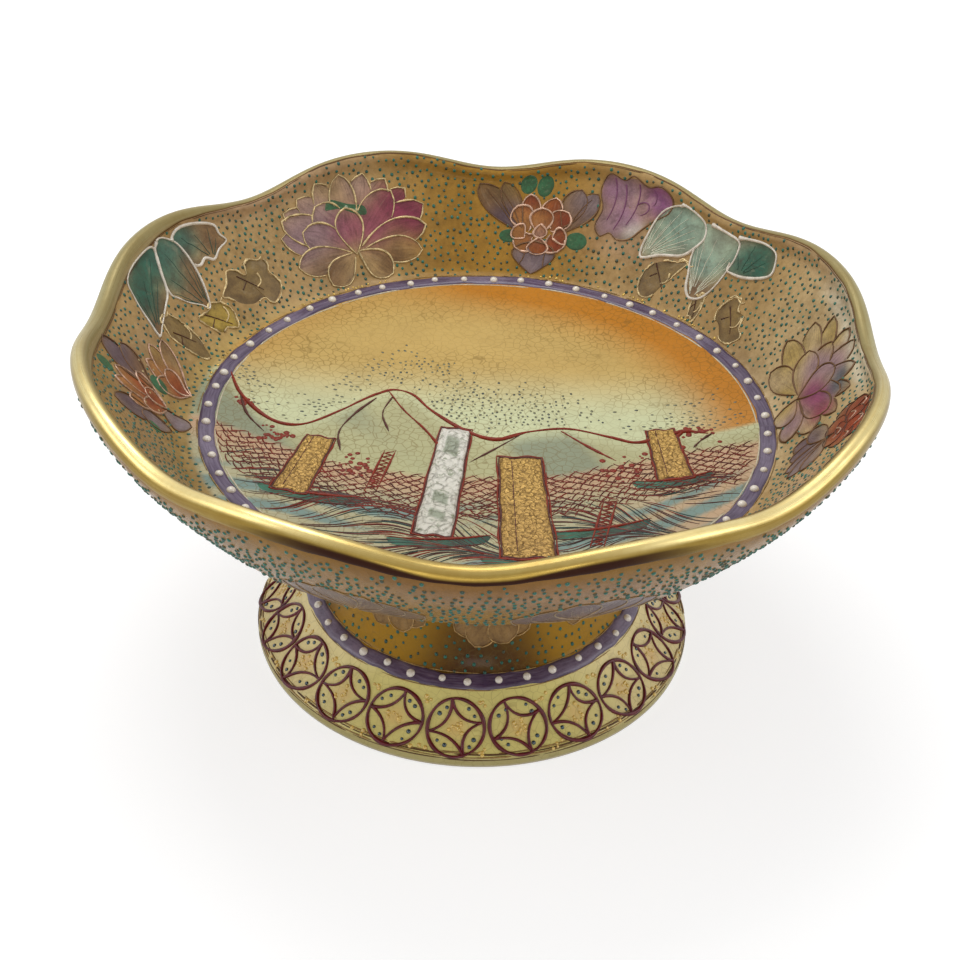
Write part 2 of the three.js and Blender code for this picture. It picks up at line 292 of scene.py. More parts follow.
def shell_paint(angle, place, run, where):
    """The ground colour of every point of the shell, with how far its crackle shows as a fourth number."""
    if where == "outside":
        colour = outer_ground(angle, run)
        return np.concatenate([colour, np.full(colour.shape[:-1] + (1,), wall_crackle)], -1)
    well = well_ground(place[..., 0], place[..., 1])
    on_wall = ease(run, 0.5, 2.5)
    colour = mixed(well, wall_ground(angle, run), on_wall)
    crackled = 1 - (1 - wall_crackle) * on_wall + 0 * angle
    return np.concatenate([colour, crackled[..., None]], -1)


def placed(name, data):
    """A new object in the scene."""
    made = bpy.data.objects.new(name, data)
    bpy.context.scene.collection.objects.link(made)
    return made


def stored(mesh, name, values):
    """Keeps a number or a vector for every point of a mesh."""
    values = np.asarray(values, float)
    kind, field = ("FLOAT", "value") if values.ndim == 1 else ("FLOAT_VECTOR", "vector")
    mesh.attributes.new(name, kind, "POINT").data.foreach_set(field, values.ravel())


def coloured(mesh, paint):
    """Keeps the painted colour of every point of a mesh, with a fourth number if that is given."""
    layer = mesh.color_attributes.new(name="paint", type="FLOAT_COLOR", domain="POINT")
    layer.data.foreach_set("color", np.c_[paint, np.ones(len(paint))][:, :4].ravel())


def piece(name, points, faces, paint=None, lay=None):
    """A mesh object from points in mm, shaded smooth, that keeps its paint and the lay of the brush."""
    mesh = bpy.data.meshes.new(name)
    mesh.from_pydata((np.reshape(points, (-1, 3)) * MM).tolist(), [], faces)
    mesh.polygons.foreach_set("use_smooth", np.ones(len(mesh.polygons), bool))
    if paint is not None:
        coloured(mesh, np.reshape(paint, (-1, np.shape(paint)[-1])))
    if lay is not None:
        stored(mesh, "lay", np.reshape(lay, (-1, 3)))
    return placed(name, mesh)


def once_round(count):
    """Even steps of angle once round the axis."""
    return np.arange(count) / count * 2 * math.pi


def ring_faces(rings, turns, closed=False):
    """The faces between rings of points; closed also joins the last ring to the first."""
    return [
        (i * turns + j, i * turns + (j + 1) % turns,
         (i + 1) % rings * turns + (j + 1) % turns, (i + 1) % rings * turns + j)
        for i in range(rings if closed else rings - 1) for j in range(turns)]


def turned(section, turns, closed=False):
    """Points and faces of a body of revolution that takes its share of the lobes."""
    section = np.array(section, float)
    angle, radius = np.meshgrid(once_round(turns), section[:, 0])
    wide, tall = scalloped(angle, radius, section[:, 1][:, None])
    points = np.stack([wide * np.cos(angle), wide * np.sin(angle), tall], -1)
    return points, ring_faces(len(section), turns, closed)


wall_start = len(well_floor) + len(cove) - 2
outer_rows = np.arange(1, len(outside["run"]) - lip_half, 2)
inner_rows = np.r_[len(inside["run"]) - lip_half - 1 : wall_start : -2, wall_start - 1 : 0 : -1]
shell_section = np.vstack([
    [[pole_radius, underside_height]], outside_points[outer_rows], lip_arc[1:-1],
    inside_points[inner_rows], [[pole_radius, well_height]]])
shell_points, shell_faces = turned(shell_section, shell_turns)
rings = len(shell_section)
around = once_round(shell_turns)[None, :]
outer_run = outside["run"][np.r_[0, outer_rows]][:, None]
inner_run = np.r_[[inside["run"][-1]] * (len(lip_arc) - 2), inside["run"][np.r_[inner_rows, 0]]][:, None]
outside_colours = shell_paint(around, None, outer_run, "outside")
inside_colours = shell_paint(around, shell_points[len(outer_run):], inner_run, "inside")
shell_colours = np.vstack([outside_colours, inside_colours])
shell_points = np.vstack([shell_points.reshape(-1, 3), [[0, 0, underside_height], [0, 0, well_height]]])
low_pole = rings * shell_turns
high_pole = low_pole + 1
last_ring = (rings - 1) * shell_turns
for j in range(shell_turns):
    shell_faces.append((low_pole, (j + 1) % shell_turns, j))
    shell_faces.append((high_pole, last_ring + j, last_ring + (j + 1) % shell_turns))
shell_colours = np.vstack([shell_colours.reshape(-1, 4), [shell_colours[0, 0], shell_colours[-1, 0]]])
bowl_shell = piece("glazed_bowl", shell_points, shell_faces, shell_colours)


def fill(tree, made, inputs):
    """Fills inputs of a node: a socket is linked, and anything else is a value."""
    for name, value in inputs.items():
        if isinstance(value, bpy.types.NodeSocket):
            tree.links.new(value, made.inputs[name])
        else:
            made.inputs[name].default_value = value


def node(tree, kind, inputs=None, **settings):
    """A node with its settings made and its inputs filled."""
    made = tree.nodes.new(kind)
    for name, value in settings.items():
        setattr(made, name, value)
    fill(tree, made, inputs or {})
    return made


def blended(tree, amount, first, second, how="MIX"):
    """The colour output of a Mix node."""
    made = node(tree, "ShaderNodeMix", {0: amount, 6: first, 7: second}, data_type="RGBA", blend_type=how)
    return made.outputs[2]


def ranged(tree, value, low, high, floor=0.0, ceiling=1.0):
    """A value stretched from low and high to floor and ceiling, and held there."""
    limits = {"From Min": low, "From Max": high, "To Min": floor, "To Max": ceiling}
    return node(tree, "ShaderNodeMapRange", {"Value": value, **limits}).outputs["Result"]


def worked(tree, first, how, second):
    """The result of a Math node."""
    return node(tree, "ShaderNodeMath", {0: first, 1: second}, operation=how).outputs["Value"]


def times(tree, first, second):
    """The product of two values."""
    return worked(tree, first, "MULTIPLY", second)


def object_place(tree):
    """Where a point lies on its object, in metres."""
    return node(tree, "ShaderNodeTexCoord").outputs["Object"]


def noise(tree, where, scale, detail, **more):
    """The outputs of a Noise texture."""
    inputs = {"Vector": where, "Scale": scale, "Detail": detail, **more}
    return node(tree, "ShaderNodeTexNoise", inputs).outputs


def cell_edges(tree, where, drift, warp, pitch):
    """How far a point lies from the edge of its cell, in a net that a drift has warped."""
    warping = {0: warp, 4: where, 5: drift["Color"]}
    warped = node(tree, "ShaderNodeMix", warping, data_type="VECTOR").outputs[1]
    cells = {"Vector": warped, "Scale": pitch}
    return node(tree, "ShaderNodeTexVoronoi", cells, feature="DISTANCE_TO_EDGE").outputs["Distance"]


def group(name, takes, gives):
    """An empty shader group: its tree, what its input node gives, and its output node."""
    tree = bpy.data.node_groups.new(name, "ShaderNodeTree")
    for way, sockets in (("INPUT", takes), ("OUTPUT", gives)):
        for label, kind in sockets.items():
            tree.interface.new_socket(label, in_out=way, socket_type="NodeSocket" + kind)
    return tree, tree.nodes.new("NodeGroupInput").outputs, tree.nodes.new("NodeGroupOutput")


# The net of fine cracks in the glaze, warped a little so that no line is straight.
crackle, given, result = group("crackle", {"Size": "Float", "Width": "Float"}, {"Cracks": "Float"})
where = object_place(crackle)
pitch = worked(crackle, 1.0, "DIVIDE", given["Size"])
edges = cell_edges(crackle, where, noise(crackle, where, 260.0, 2.0), 0.0012, pitch)
patchy = ranged(crackle, noise(crackle, where, 55.0, 1.0)["Fac"], 0.35, 0.6, 0.35, 1.0)
line = ranged(crackle, edges, 0.0, given["Width"], 1.0, 0.0)
fill(crackle, result, {"Cracks": times(crackle, line, patchy)})

# The cloudy unevenness of a colour that was dabbed on and fired.
mottle, given, result = group(
    "mottle", {"Colour": "Color", "Darker": "Color", "Size": "Float", "Amount": "Float"},
    {"Mottled": "Color", "Grain": "Float"})
where = object_place(mottle)
pitch = worked(mottle, 1.0, "DIVIDE", given["Size"])
cloud = noise(mottle, where, pitch, 4.0, Roughness=0.6)["Fac"]
fine = noise(mottle, where, times(mottle, pitch, 9.0), 3.0)["Fac"]
both = worked(mottle, cloud, "ADD", times(mottle, fine, 0.5))
share = times(mottle, ranged(mottle, both, 0.6, 0.95), given["Amount"])
fill(mottle, result, {"Mottled": blended(mottle, share, given["Colour"], given["Darker"]), "Grain": fine})

# Streaks along the brush: fine noise drawn out along the stored lay.
brushed, given, result = group("brushed", {"Along": "Float", "Across": "Float"}, {"Streaks": "Float"})
lay = node(brushed, "ShaderNodeAttribute", attribute_name="lay").outputs["Vector"]
parts = node(brushed, "ShaderNodeSeparateXYZ", {0: lay}).outputs
drawn = node(brushed, "ShaderNodeCombineXYZ", {
    "X": times(brushed, parts["X"], given["Along"]), "Y": times(brushed, parts["Y"], given["Across"]),
    "Z": parts["Z"]}).outputs[0]
fill(brushed, result, {"Streaks": noise(brushed, drawn, 1.0, 3.0)["Fac"]})


def material(name):
    """A new material: itself, its tree and its shader."""
    made = bpy.data.materials.new(name)
    made.use_nodes = True
    return made, made.node_tree, made.node_tree.nodes["Principled BSDF"]


def painted(tree):
    """The paint of a mesh: its Color, and as Alpha the fourth number."""
    return node(tree, "ShaderNodeAttribute", attribute_name="paint").outputs


def use(tree, kind, inputs):
    """The outputs of a shader group that is placed in a material with its own values."""
    return node(tree, "ShaderNodeGroup", inputs, node_tree=kind).outputs


def solid(colour):
    """A colour as the four numbers that a socket takes."""
    return (*[float(c) for c in (ink(colour) if isinstance(colour, str) else colour)], 1.0)


def dabbed(tree, colour, darker, size, amount):
    """A colour, Mottled with clouds of a darker one of a size in metres, and their fine Grain."""
    return use(tree, mottle, {"Colour": colour, "Darker": darker, "Size": size, "Amount": amount})


def bumped(tree, height, strength, distance):
    """The normal of a bump of a real height in metres."""
    inputs = {"Height": height, "Strength": strength, "Distance": distance}
    return node(tree, "ShaderNodeBump", inputs).outputs["Normal"]


glaze, tree, shader = material("crackled_glaze")
paint = painted(tree)
amount = ranged(tree, paint["Alpha"], wall_crackle, 1.0, 0.5, 0.14)
cloudy = dabbed(tree, paint["Color"], solid("6e5127"), 0.014, amount)
cracks = times(tree, use(tree, crackle, {"Size": 0.0021, "Width": 0.075})["Cracks"], paint["Alpha"])
fill(tree, shader, {
    "Base Color": blended(tree, times(tree, cracks, 0.55), cloudy["Mottled"], solid("74581f")),
    "Roughness": ranged(tree, cloudy["Grain"], 0.3, 0.7, 0.2, 0.34),
    "Specular IOR Level": 0.07, "Coat Weight": 0.03, "Coat Roughness": 0.15,
    "Normal": bumped(tree, worked(tree, cloudy["Grain"], "SUBTRACT", cracks), 0.1, 0.00005)})
bowl_shell.data.materials.append(glaze)
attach(bowl_shell, "root")
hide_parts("bowl_shell")

# Pedestal foot.
# A second earthenware piece, thrown hollow: a spreading skirt, a small ledge and a waisted stem.
# Its skirt is pale yellow, its stem amber, and the ring that it stands on is wiped bare.
foot_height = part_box("pedestal_foot")[1].z / MM
foot_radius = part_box("pedestal_foot")[1].x / MM
foot_edge = 3.0
edge_start = 1.2
edge_easing = 0.12
skirt_run = 12.5
skirt_rise = 10.4
skirt_hollow = 0.7
ledge_width = 4.1
ledge_rise = 2.1
ledge_swell = [-0.8, 0.9]
stem_flare = 3.6
neck_radius = 36.5
neck_height = 34.55
collar_pull = 45.8
foot_wall = 5.0
foot_turns = 360
hollow_start = 0.9
hollow_end = 0.05
heel_round = 0.5
toe_round = 0.9
toe_bulge = [-0.2, 0.35]
coin_count = 21
coin_ring = 50.45
coin_first = math.radians(-93.3)
coin_pitch = 2 * math.pi / coin_count
blush_spread = 2.9

ledge_out = np.array([foot_radius - skirt_run, foot_edge + skirt_rise])
ledge_in = ledge_out + [-ledge_width, ledge_rise]
edge_top = np.array([foot_radius, foot_edge])
skirt_middle = (edge_top + ledge_out) / 2
skirt_pull = skirt_middle + [-skirt_hollow, -2 * skirt_hollow]
neck = np.array([neck_radius, neck_height])
collar = np.array([collar_radius, foot_height])
skirt_start = edge_top + edge_easing * (skirt_pull - edge_top)
round_edge = bend([(foot_radius, edge_start), edge_top, skirt_start], 8)
skirt = bend([round_edge[-1], skirt_pull, ledge_out], 26)
ledge = bend([ledge_out, ledge_out + ledge_swell, ledge_in], 10)
stem_low = bend([ledge_in, (neck_radius, ledge_in[1] + stem_flare), neck], 34)
stem_high = bend([neck, (neck_radius, collar_pull), collar], 30)
foot_outside = np.vstack([round_edge[:-1], skirt[:-1], ledge[:-1], stem_low[:-1], stem_high])
foot_face = face_line(foot_outside, len(round_edge) - 1, -1)
climb = np.gradient(foot_outside, axis=0)
climb /= np.linalg.norm(climb, axis=1)[:, None]
foot_inside = foot_outside - foot_wall * np.stack([climb[:, 1], -climb[:, 0]], 1)
hollow_rise = foot_inside[:, 1]
in_hollow = (hollow_rise > hollow_start) & (hollow_rise < foot_height - hollow_end)
foot_inside = foot_inside[in_hollow][::3]
inner_top = np.array([[foot_inside[-1, 0], foot_height]])
heel = foot_radius - foot_wall
standing = np.array([
    [heel, heel_round], [heel + heel_round, 0.0], [foot_radius - toe_round, 0.0],
    [foot_radius + toe_bulge[0], toe_bulge[1]]])
foot_section = np.vstack([foot_outside, inner_top, foot_inside[::-1], standing])
foot_points, foot_faces = turned(foot_section, foot_turns, closed=True)

skirt_cream = ink("fae9ad")
skirt_yellow = ink("e5d988")
skirt_blush = ink("e8b272")
stem_amber = ink("ad801f")
stem_brown = ink("4c2a06")
edge_olive = ink("c0b47c")
bare_clay = ink("d8cdb4")


def radius_run(line, radius, rows):
    """The run at which a face has a radius, among first rows that only spread or only narrow."""
    way = 1 if line["radius"][rows - 1] > line["radius"][0] else -1
    return np.interp(way * radius, way * line["radius"][:rows], line["run"][:rows])


ledge_end = len(round_edge) + len(skirt) + len(ledge) - 3
stem_run = foot_face["run"][ledge_end]
skirt_middle_run = radius_run(foot_face, coin_ring, ledge_end + 1)
outer_count = len(foot_outside)
foot_around = once_round(foot_turns)
run_grid = foot_face["run"][:, None] + 0 * foot_around
# The skirt is painted paler cream towards its left and right sides and yellower at its front and back, as
# painted light and shade, with bands of tone along it.
tone_and_shade_share = ease(np.sin(run_grid / 5) / 3 - np.cos(2 * foot_around[None, :]), -0.4, 0.9)
pale = mixed(skirt_cream, skirt_yellow, tone_and_shade_share)
off_coin = (foot_around - coin_first + coin_pitch / 2) % coin_pitch - coin_pitch / 2
off_middle = run_grid - skirt_middle_run
blush_share = np.exp(-((coin_ring * off_coin) ** 2 + off_middle**2) / blush_spread**2)
pale = mixed(pale, skirt_blush, 0.5 * blush_share)


def stem_ground(angle, run):
    """The amber ground of the stem, dark brown between lighter passages."""
    share = ease(np.cos(4 * (angle + math.radians(130))) + (run - stem_run) / 30, -0.9, 0.9)
    return mixed(stem_brown, stem_amber, share)


amber = stem_ground(foot_around[None, :], run_grid)
foot_colours = np.tile(skirt_yellow, (len(foot_section), foot_turns, 1))
pale = mixed(edge_olive, pale, ease(run_grid, -1.4, 0.2))
foot_colours[:outer_count] = mixed(pale, amber, ease(run_grid, stem_run - 2.5, stem_run - 0.5))
foot_colours[-len(standing):] = bare_clay
foot = piece("glazed_foot", foot_points, foot_faces, foot_colours)
foot_glaze, tree, shader = material("foot_glaze")
cloudy = dabbed(tree, painted(tree)["Color"], solid("8d7a35"), 0.012, 0.16)
cracks = use(tree, crackle, {"Size": 0.0024, "Width": 0.05})["Cracks"]
fill(tree, shader, {
    "Base Color": blended(tree, times(tree, cracks, 0.28), cloudy["Mottled"], solid("7a6430")),
    "Roughness": ranged(tree, cloudy["Grain"], 0.3, 0.7, 0.14, 0.26),
    "Specular IOR Level": 0.1, "Coat Weight": 0.03, "Coat Roughness": 0.08,
    "Normal": bumped(tree, worked(tree, cloudy["Grain"], "SUBTRACT", cracks), 0.2, 0.00008)})
foot.data.materials.append(foot_glaze)
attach(foot, "root")
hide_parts("pedestal_foot")

# Luting ring.
# The thin ring of slip that joins the bowl to its foot, wiped smooth before the glost firing.
lute_low, lute_high = (corner.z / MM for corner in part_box("luting_ring"))
lute_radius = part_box("luting_ring")[1].x / MM
lute_width = 4.2
lute_round = 0.35
lute_swell = 0.15
lute_lap = 0.2
lute_inner = lute_radius - lute_width
lute_section = [
    (lute_inner, lute_low), (lute_radius - lute_round, lute_low - lute_lap),
    (lute_radius, lute_low + lute_swell), (lute_radius + lute_swell, (lute_low + lute_high) / 2),
    (lute_radius, lute_high - lute_swell), (lute_radius - lute_round, lute_high + lute_lap),
    (lute_inner, lute_high)]
lute_points, lute_faces = turned(lute_section, foot_turns, closed=True)
lute_paint = np.tile(ink("b98f4a"), (len(lute_points) * foot_turns, 1))
lute = piece("joining_slip", lute_points, lute_faces, lute_paint)
lute.data.materials.append(foot_glaze)
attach(lute, "root")
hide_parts("luting_ring")

# Rim gilding.
# Bright gold brushed round the rolled lip, from just inside it to just under its outer side.
# It has run thin in places. On the near side, a dark brown band along its lower edge over the outer wall is
# painted reflection, and the top of its roll is lighter as painted highlight.
gilt_lift = 0.05
gilt_inner = math.radians(146)
gilt_far = math.radians(22)
gilt_spread = math.radians(95)
gilt_spread_turn = math.radians(208)
gilt_outer = math.radians(-38)
gilt_rows = 30
gilt_turns = 720


def gilt_section(angle):
    """How far down the brush went on the inner and the outer side, at each angle."""
    inner = gilt_inner + gilt_spread * ease(np.cos(angle - gilt_spread_turn), 0.2, 0.95)
    inner = inner - gilt_far * ease(np.sin(angle), 0.2, 0.8)
    inner = inner + 0.10 * np.sin(5 * angle + 1) + 0.06 * np.sin(23 * angle) + 0.03 * np.sin(61 * angle + 2)
    outer = gilt_outer + 0.09 * np.sin(7 * angle) + 0.05 * np.sin(31 * angle + 2)
    return inner, outer + 0.03 * np.sin(73 * angle)


def gilt_run(angle):
    """The run at which the gilding ends on the inner wall."""
    return inside["run"][-1] - (gilt_section(angle)[0] - math.pi / 2) * lip_roll


rim_angle = once_round(gilt_turns)
rim_inner, rim_outer = gilt_section(rim_angle)
share = np.linspace(0, 1, gilt_rows)[:, None]
outer_end = outside["run"][-1]
inner_end = inside["run"][-1]
rim_turn = rim_outer * (1 - share) + rim_inner * share
rim_from_outside = outer_end + (rim_turn - math.pi / 2) * lip_roll
rim_from_inside = inner_end - (rim_turn - math.pi / 2) * lip_roll
edge_fade = np.minimum(share, 1 - share) * (gilt_rows - 1)
rim_lift = gilt_lift * np.clip(edge_fade * 0.7, 0, 1) - 0.02 * (edge_fade < 0.5) + 0 * rim_angle
gilt_outside = on(outside, rim_angle[None, :], rim_from_outside, rim_lift)
gilt_inside = on(inside, rim_angle[None, :], rim_from_inside, rim_lift)
rim_points = np.where((rim_turn < math.pi / 2)[..., None], gilt_outside, gilt_inside)
gold_bright = ink("e6d496")
gold_deep = ink("98803f")
gold_reflection_brown = ink("351503")
gold_olive = ink("978b60")
gold_pale = ink("a9a27a")
gold_ivory = ink("cdbf95")
gold_seam = ink("64451f")
near_side = ease(-np.sin(rim_angle), -0.1, 0.75)[None, :]
# Painted reflection: a dark brown band under the outer edge of the lip on its near side, wider at two
# places, where the gold is also less metallic.
wider_reflection = sum(towards(rim_angle, place, 0.975) for place in (-107, -73))[None, :]
dark_reflection = ease(math.radians(8) + math.radians(20) * wider_reflection - rim_turn, 0, math.radians(18))
dark_reflection = dark_reflection * ease(-np.sin(rim_angle), 0.84, 0.96)[None, :]
# Painted highlight: the top of the roll is lighter, and painted shade dims it again at the very front.
crest_highlight = ease(rim_turn, math.radians(22), math.radians(56))
crest_highlight = crest_highlight * ease(-rim_turn, math.radians(-125), math.radians(-92))
crest_highlight = crest_highlight * (1 - 0.8 * ease(-np.sin(rim_angle), 0.9, 1.0)[None, :])
# The far half of the lip and its inner side are painted a duller olive gold, paler towards the outer side,
# and ivory at the inner edge where the gilding is worn.
olive = np.clip(1 - near_side + 0.8 * ease(rim_turn, math.radians(118), math.radians(150)), 0, 1)
worn = mixed(gold_olive, gold_pale, ease(-rim_turn, math.radians(-88), math.radians(-64)))
worn = mixed(worn, gold_ivory, 0.8 * ease(rim_turn, math.radians(150), math.radians(175)))
rim_paint = mixed(mixed(mixed(gold_deep, gold_bright, crest_highlight), worn, 0.9 * olive), gold_reflection_brown, dark_reflection)
rim_paint = mixed(rim_paint, gold_seam, ease(share, 0.9, 0.97) * (1 - 0.7 * near_side))
rim_metal = (1 - 0.75 * olive) * (1 - 0.8 * dark_reflection)
rim_paint = np.concatenate([rim_paint, rim_metal[..., None]], -1)
rim_lay = np.stack([rim_angle[None, :] * lip_radius + 0 * rim_turn, rim_turn * lip_roll, 0 * rim_turn], -1)
rim = piece("rim_gold", rim_points, ring_faces(gilt_rows, gilt_turns), rim_paint, rim_lay)
gold, tree, shader = material("bright_gilding")
paint = painted(tree)
streaks = use(tree, brushed, {"Along": 0.06, "Across": 2.6})["Streaks"]
rubbed = blended(tree, 1.0, paint["Color"], (0.72, 0.6, 0.4, 1.0), "MULTIPLY")
patched = dabbed(tree, paint["Color"], rubbed, 0.01, 0.38)["Mottled"]
fill(tree, shader, {
    "Base Color": blended(tree, ranged(tree, streaks, 0.42, 0.75, 0.0, 0.45), patched, rubbed),
    "Metallic": times(tree, paint["Alpha"], 0.94), "Specular IOR Level": 0.12,
    "Roughness": ranged(tree, streaks, 0.3, 0.7, 0.24, 0.44),
    "Normal": bumped(tree, streaks, 0.35, 0.0001)})
rim.data.materials.append(gold)
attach(rim, "root")
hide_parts("rim_gilding")

# Well band and foot band.
# A belt of lavender enamel round the well, and a narrower one on the foot's ledge.
# Each was laid wet with a full brush, so that its edges wander, and carries a row of white beads.
band_width = 4.0
foot_band_width = 4.2
foot_band_radius = 42.15
band_thickness = 0.34
band_rows = 13
well_band_radius = 68.46
well_band_drift = 2.2
well_band_turn = math.radians(30)
lavender = ink("564460")
lavender_dark = ink("3b2a3f")
lavender_pale = ink("8a7d92")
spreading_rows = wall_start + 62


def well_run(radius):
    """The run at which the inside of the bowl has a radius."""
    return radius_run(inside, radius, spreading_rows)


def band_middle(angle):
    """The run of the well band's middle line, which lies a little off the axis."""
    return well_run(well_band_radius + well_band_drift * np.cos(angle - well_band_turn))


def belt(name, line, middle, width, turns, thin):
    """A low rounded belt of enamel along a middle line, with wandering edges, paler where it ran thin and
    where a painted sheen is laid on.
    """
    angle = once_round(turns)
    share = np.linspace(-1, 1, band_rows)[:, None]
    sway = 0.14 * np.sin(9 * angle + 1) + 0.1 * np.sin(23 * angle) + 0.06 * np.sin(57 * angle + 2)
    swell = 1 + 0.05 * np.sin(13 * angle + 2) + 0.04 * np.sin(37 * angle)
    run = middle(angle) + sway + share * swell * width / 2
    lift = band_thickness * (1 - np.abs(share) ** 6) - 0.04 + 0 * angle
    faces = ring_faces(band_rows, turns)
    if line["side"] > 0:
        faces = [face[::-1] for face in faces]
    edge = ease(np.abs(share), 0.55, 1.0) + 0 * angle
    # The paleness given here is the enamel running thin on the well band, and painted sheen on the foot
    # band.
    paint = mixed(lavender, lavender_pale, thin(angle) + 0 * share)
    paint = mixed(paint, lavender_dark, 0.65 * edge)
    lay = np.stack([angle * well_band_radius + 0 * share, share * width / 2 + 0 * angle, 0 * run], -1)
    return piece(name, on(line, angle[None, :] + 0 * share, run, lift), faces, paint, lay)


band_enamel, tree, shader = material("lavender_enamel")
streaks = use(tree, brushed, {"Along": 0.12, "Across": 1.6})["Streaks"]
cloudy = dabbed(tree, painted(tree)["Color"], solid(lavender_dark), 0.006, 0.6)["Mottled"]
fill(tree, shader, {
    "Base Color": blended(tree, ranged(tree, streaks, 0.45, 0.75, 0.0, 0.6), cloudy, solid(lavender_pale)),
    "Roughness": ranged(tree, streaks, 0.3, 0.7, 0.22, 0.4),
    "Specular IOR Level": 0.3, "Coat Weight": 0.2, "Coat Roughness": 0.1,
    "Normal": bumped(tree, streaks, 0.3, 0.0001)})

foot_band_run = radius_run(foot_face, foot_band_radius, ledge_end + 1)
well_belt = belt(
    "well_belt", inside, band_middle, band_width, 720,
    lambda angle: 0.5 * ease(np.sin(7 * angle + 3), 0.4, 1))
# The foot band is paler towards its left and right sides as painted sheen, and darker at its front and back
# as painted shade.
foot_belt = belt(
    "foot_belt", foot_face, lambda angle: foot_band_run + 0 * angle, foot_band_width, 360,
    lambda angle: 0.75 * ease(np.cos(2 * angle), -0.95, -0.1))
for made, replaced in ((well_belt, "well_band"), (foot_belt, "foot_band")):
    made.data.materials.append(band_enamel)
    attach(made, "root")
    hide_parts(replaced)

# White beads.
# Drops of white enamel, let fall from the tip of a brush at even steps along both bands.
# The tree sets one drop on every point that it is given, turned to face out and sized on its own.
bead_radius = 1.02
well_bead_count = 55
foot_bead_count = 37


def geometry_tree(name, sockets):
    """An empty geometry tree with its named inputs."""
    tree = bpy.data.node_groups.new(name, "GeometryNodeTree")
    for label, kind in sockets.items():
        tree.interface.new_socket(label, in_out="INPUT", socket_type="NodeSocket" + kind)
    return tree, tree.nodes.new("NodeGroupInput").outputs


def shaped(tree, start, shape, label):
    """Ends a tree: instances made real, shaded smooth and given their material."""
    tree.interface.new_socket(label, in_out="OUTPUT", socket_type="NodeSocketGeometry")
    real = node(tree, "GeometryNodeRealizeInstances", {"Geometry": shape})
    smooth = node(tree, "GeometryNodeSetShadeSmooth", {0: real.outputs[0]})
    inputs = {"Geometry": smooth.outputs[0], "Material": start["Finish"]}
    node(tree, "NodeGroupOutput", {0: node(tree, "GeometryNodeSetMaterial", inputs).outputs[0]})


def named(tree, name, kind):
    """A stored attribute, read inside a geometry tree."""
    made = node(tree, "GeometryNodeInputNamedAttribute", {"Name": name}, data_type=kind)
    return made.outputs["Attribute"]


drops, start = geometry_tree("enamel_drops", {
    "Places": "Geometry", "Segments": "Int", "Rings": "Int", "Height": "Float", "Finish": "Material"})
ball = node(drops, "GeometryNodeMeshUVSphere", {
    "Segments": start["Segments"], "Rings": start["Rings"], "Radius": 1.0})
squash = node(drops, "ShaderNodeCombineXYZ", {"X": 1.0, "Y": 1.0, "Z": start["Height"]})
drop = node(drops, "GeometryNodeTransform", {"Geometry": ball.outputs["Mesh"], "Scale": squash.outputs[0]})
outward = node(drops, "FunctionNodeAlignRotationToVector", {
    "Vector": named(drops, "facing", "FLOAT_VECTOR")}, axis="Z")
dropped = node(drops, "GeometryNodeInstanceOnPoints", {
    "Points": node(drops, "GeometryNodeMeshToPoints", {"Mesh": start["Places"]}).outputs[0],
    "Instance": drop.outputs[0], "Rotation": outward.outputs[0], "Scale": named(drops, "size", "FLOAT")})
shaped(drops, start, dropped.outputs[0], "Drops")


def grown(name, host, tree, settings):
    """The plain mesh that a geometry tree makes from a host object, which is then removed."""
    modifier = host.modifiers.new(name, "NODES")
    modifier.node_group = tree
    for item in tree.interface.items_tree:
        if item.in_out == "INPUT" and item.name in settings:
            modifier[item.identifier] = settings[item.name]
    bpy.context.view_layer.update()
    depsgraph = bpy.context.evaluated_depsgraph_get()
    made = host.evaluated_get(depsgraph)
    mesh = bpy.data.meshes.new_from_object(made, preserve_all_data_layers=True, depsgraph=depsgraph)
    mesh.name = name
    bpy.data.objects.remove(host)
    return placed(name, mesh)


def sprinkled(name, line, angle, run, size, lift, paint, finish, segments, rings, height):
    """Enamel drops at chosen places of a face."""
    angle, run, size = (np.asarray(value, float).ravel() for value in np.broadcast_arrays(angle, run, size))
    host = piece(name + "_places", on(line, angle, run, lift + 0 * angle), [])
    stored(host.data, "facing", facing(line, angle, run))
    stored(host.data, "size", size * MM)
    coloured(host.data, np.broadcast_to(paint, (len(angle), 3)))
    settings = {"Segments": segments, "Rings": rings, "Height": height, "Finish": finish}
    return grown(name, host, drops, settings)


def enamel(name, darker, size, amount, values, bump=None):
    """A plain enamel: its paint clouded with a darker colour, its constants, and a bump of its grain."""
    made, tree, shader = material(name)
    cloudy = dabbed(tree, painted(tree)["Color"], solid(darker), size, amount)
    fill(tree, shader, {"Base Color": cloudy["Mottled"], **values})
    if bump:
        fill(tree, shader, {"Normal": bumped(tree, cloudy["Grain"], *bump)})
    return made


white_enamel = enamel(
    "white_enamel", "b9a78a", 0.0012, 0.35, {"Roughness": 0.25, "Coat Weight": 0.4}, (0.2, 0.00006))

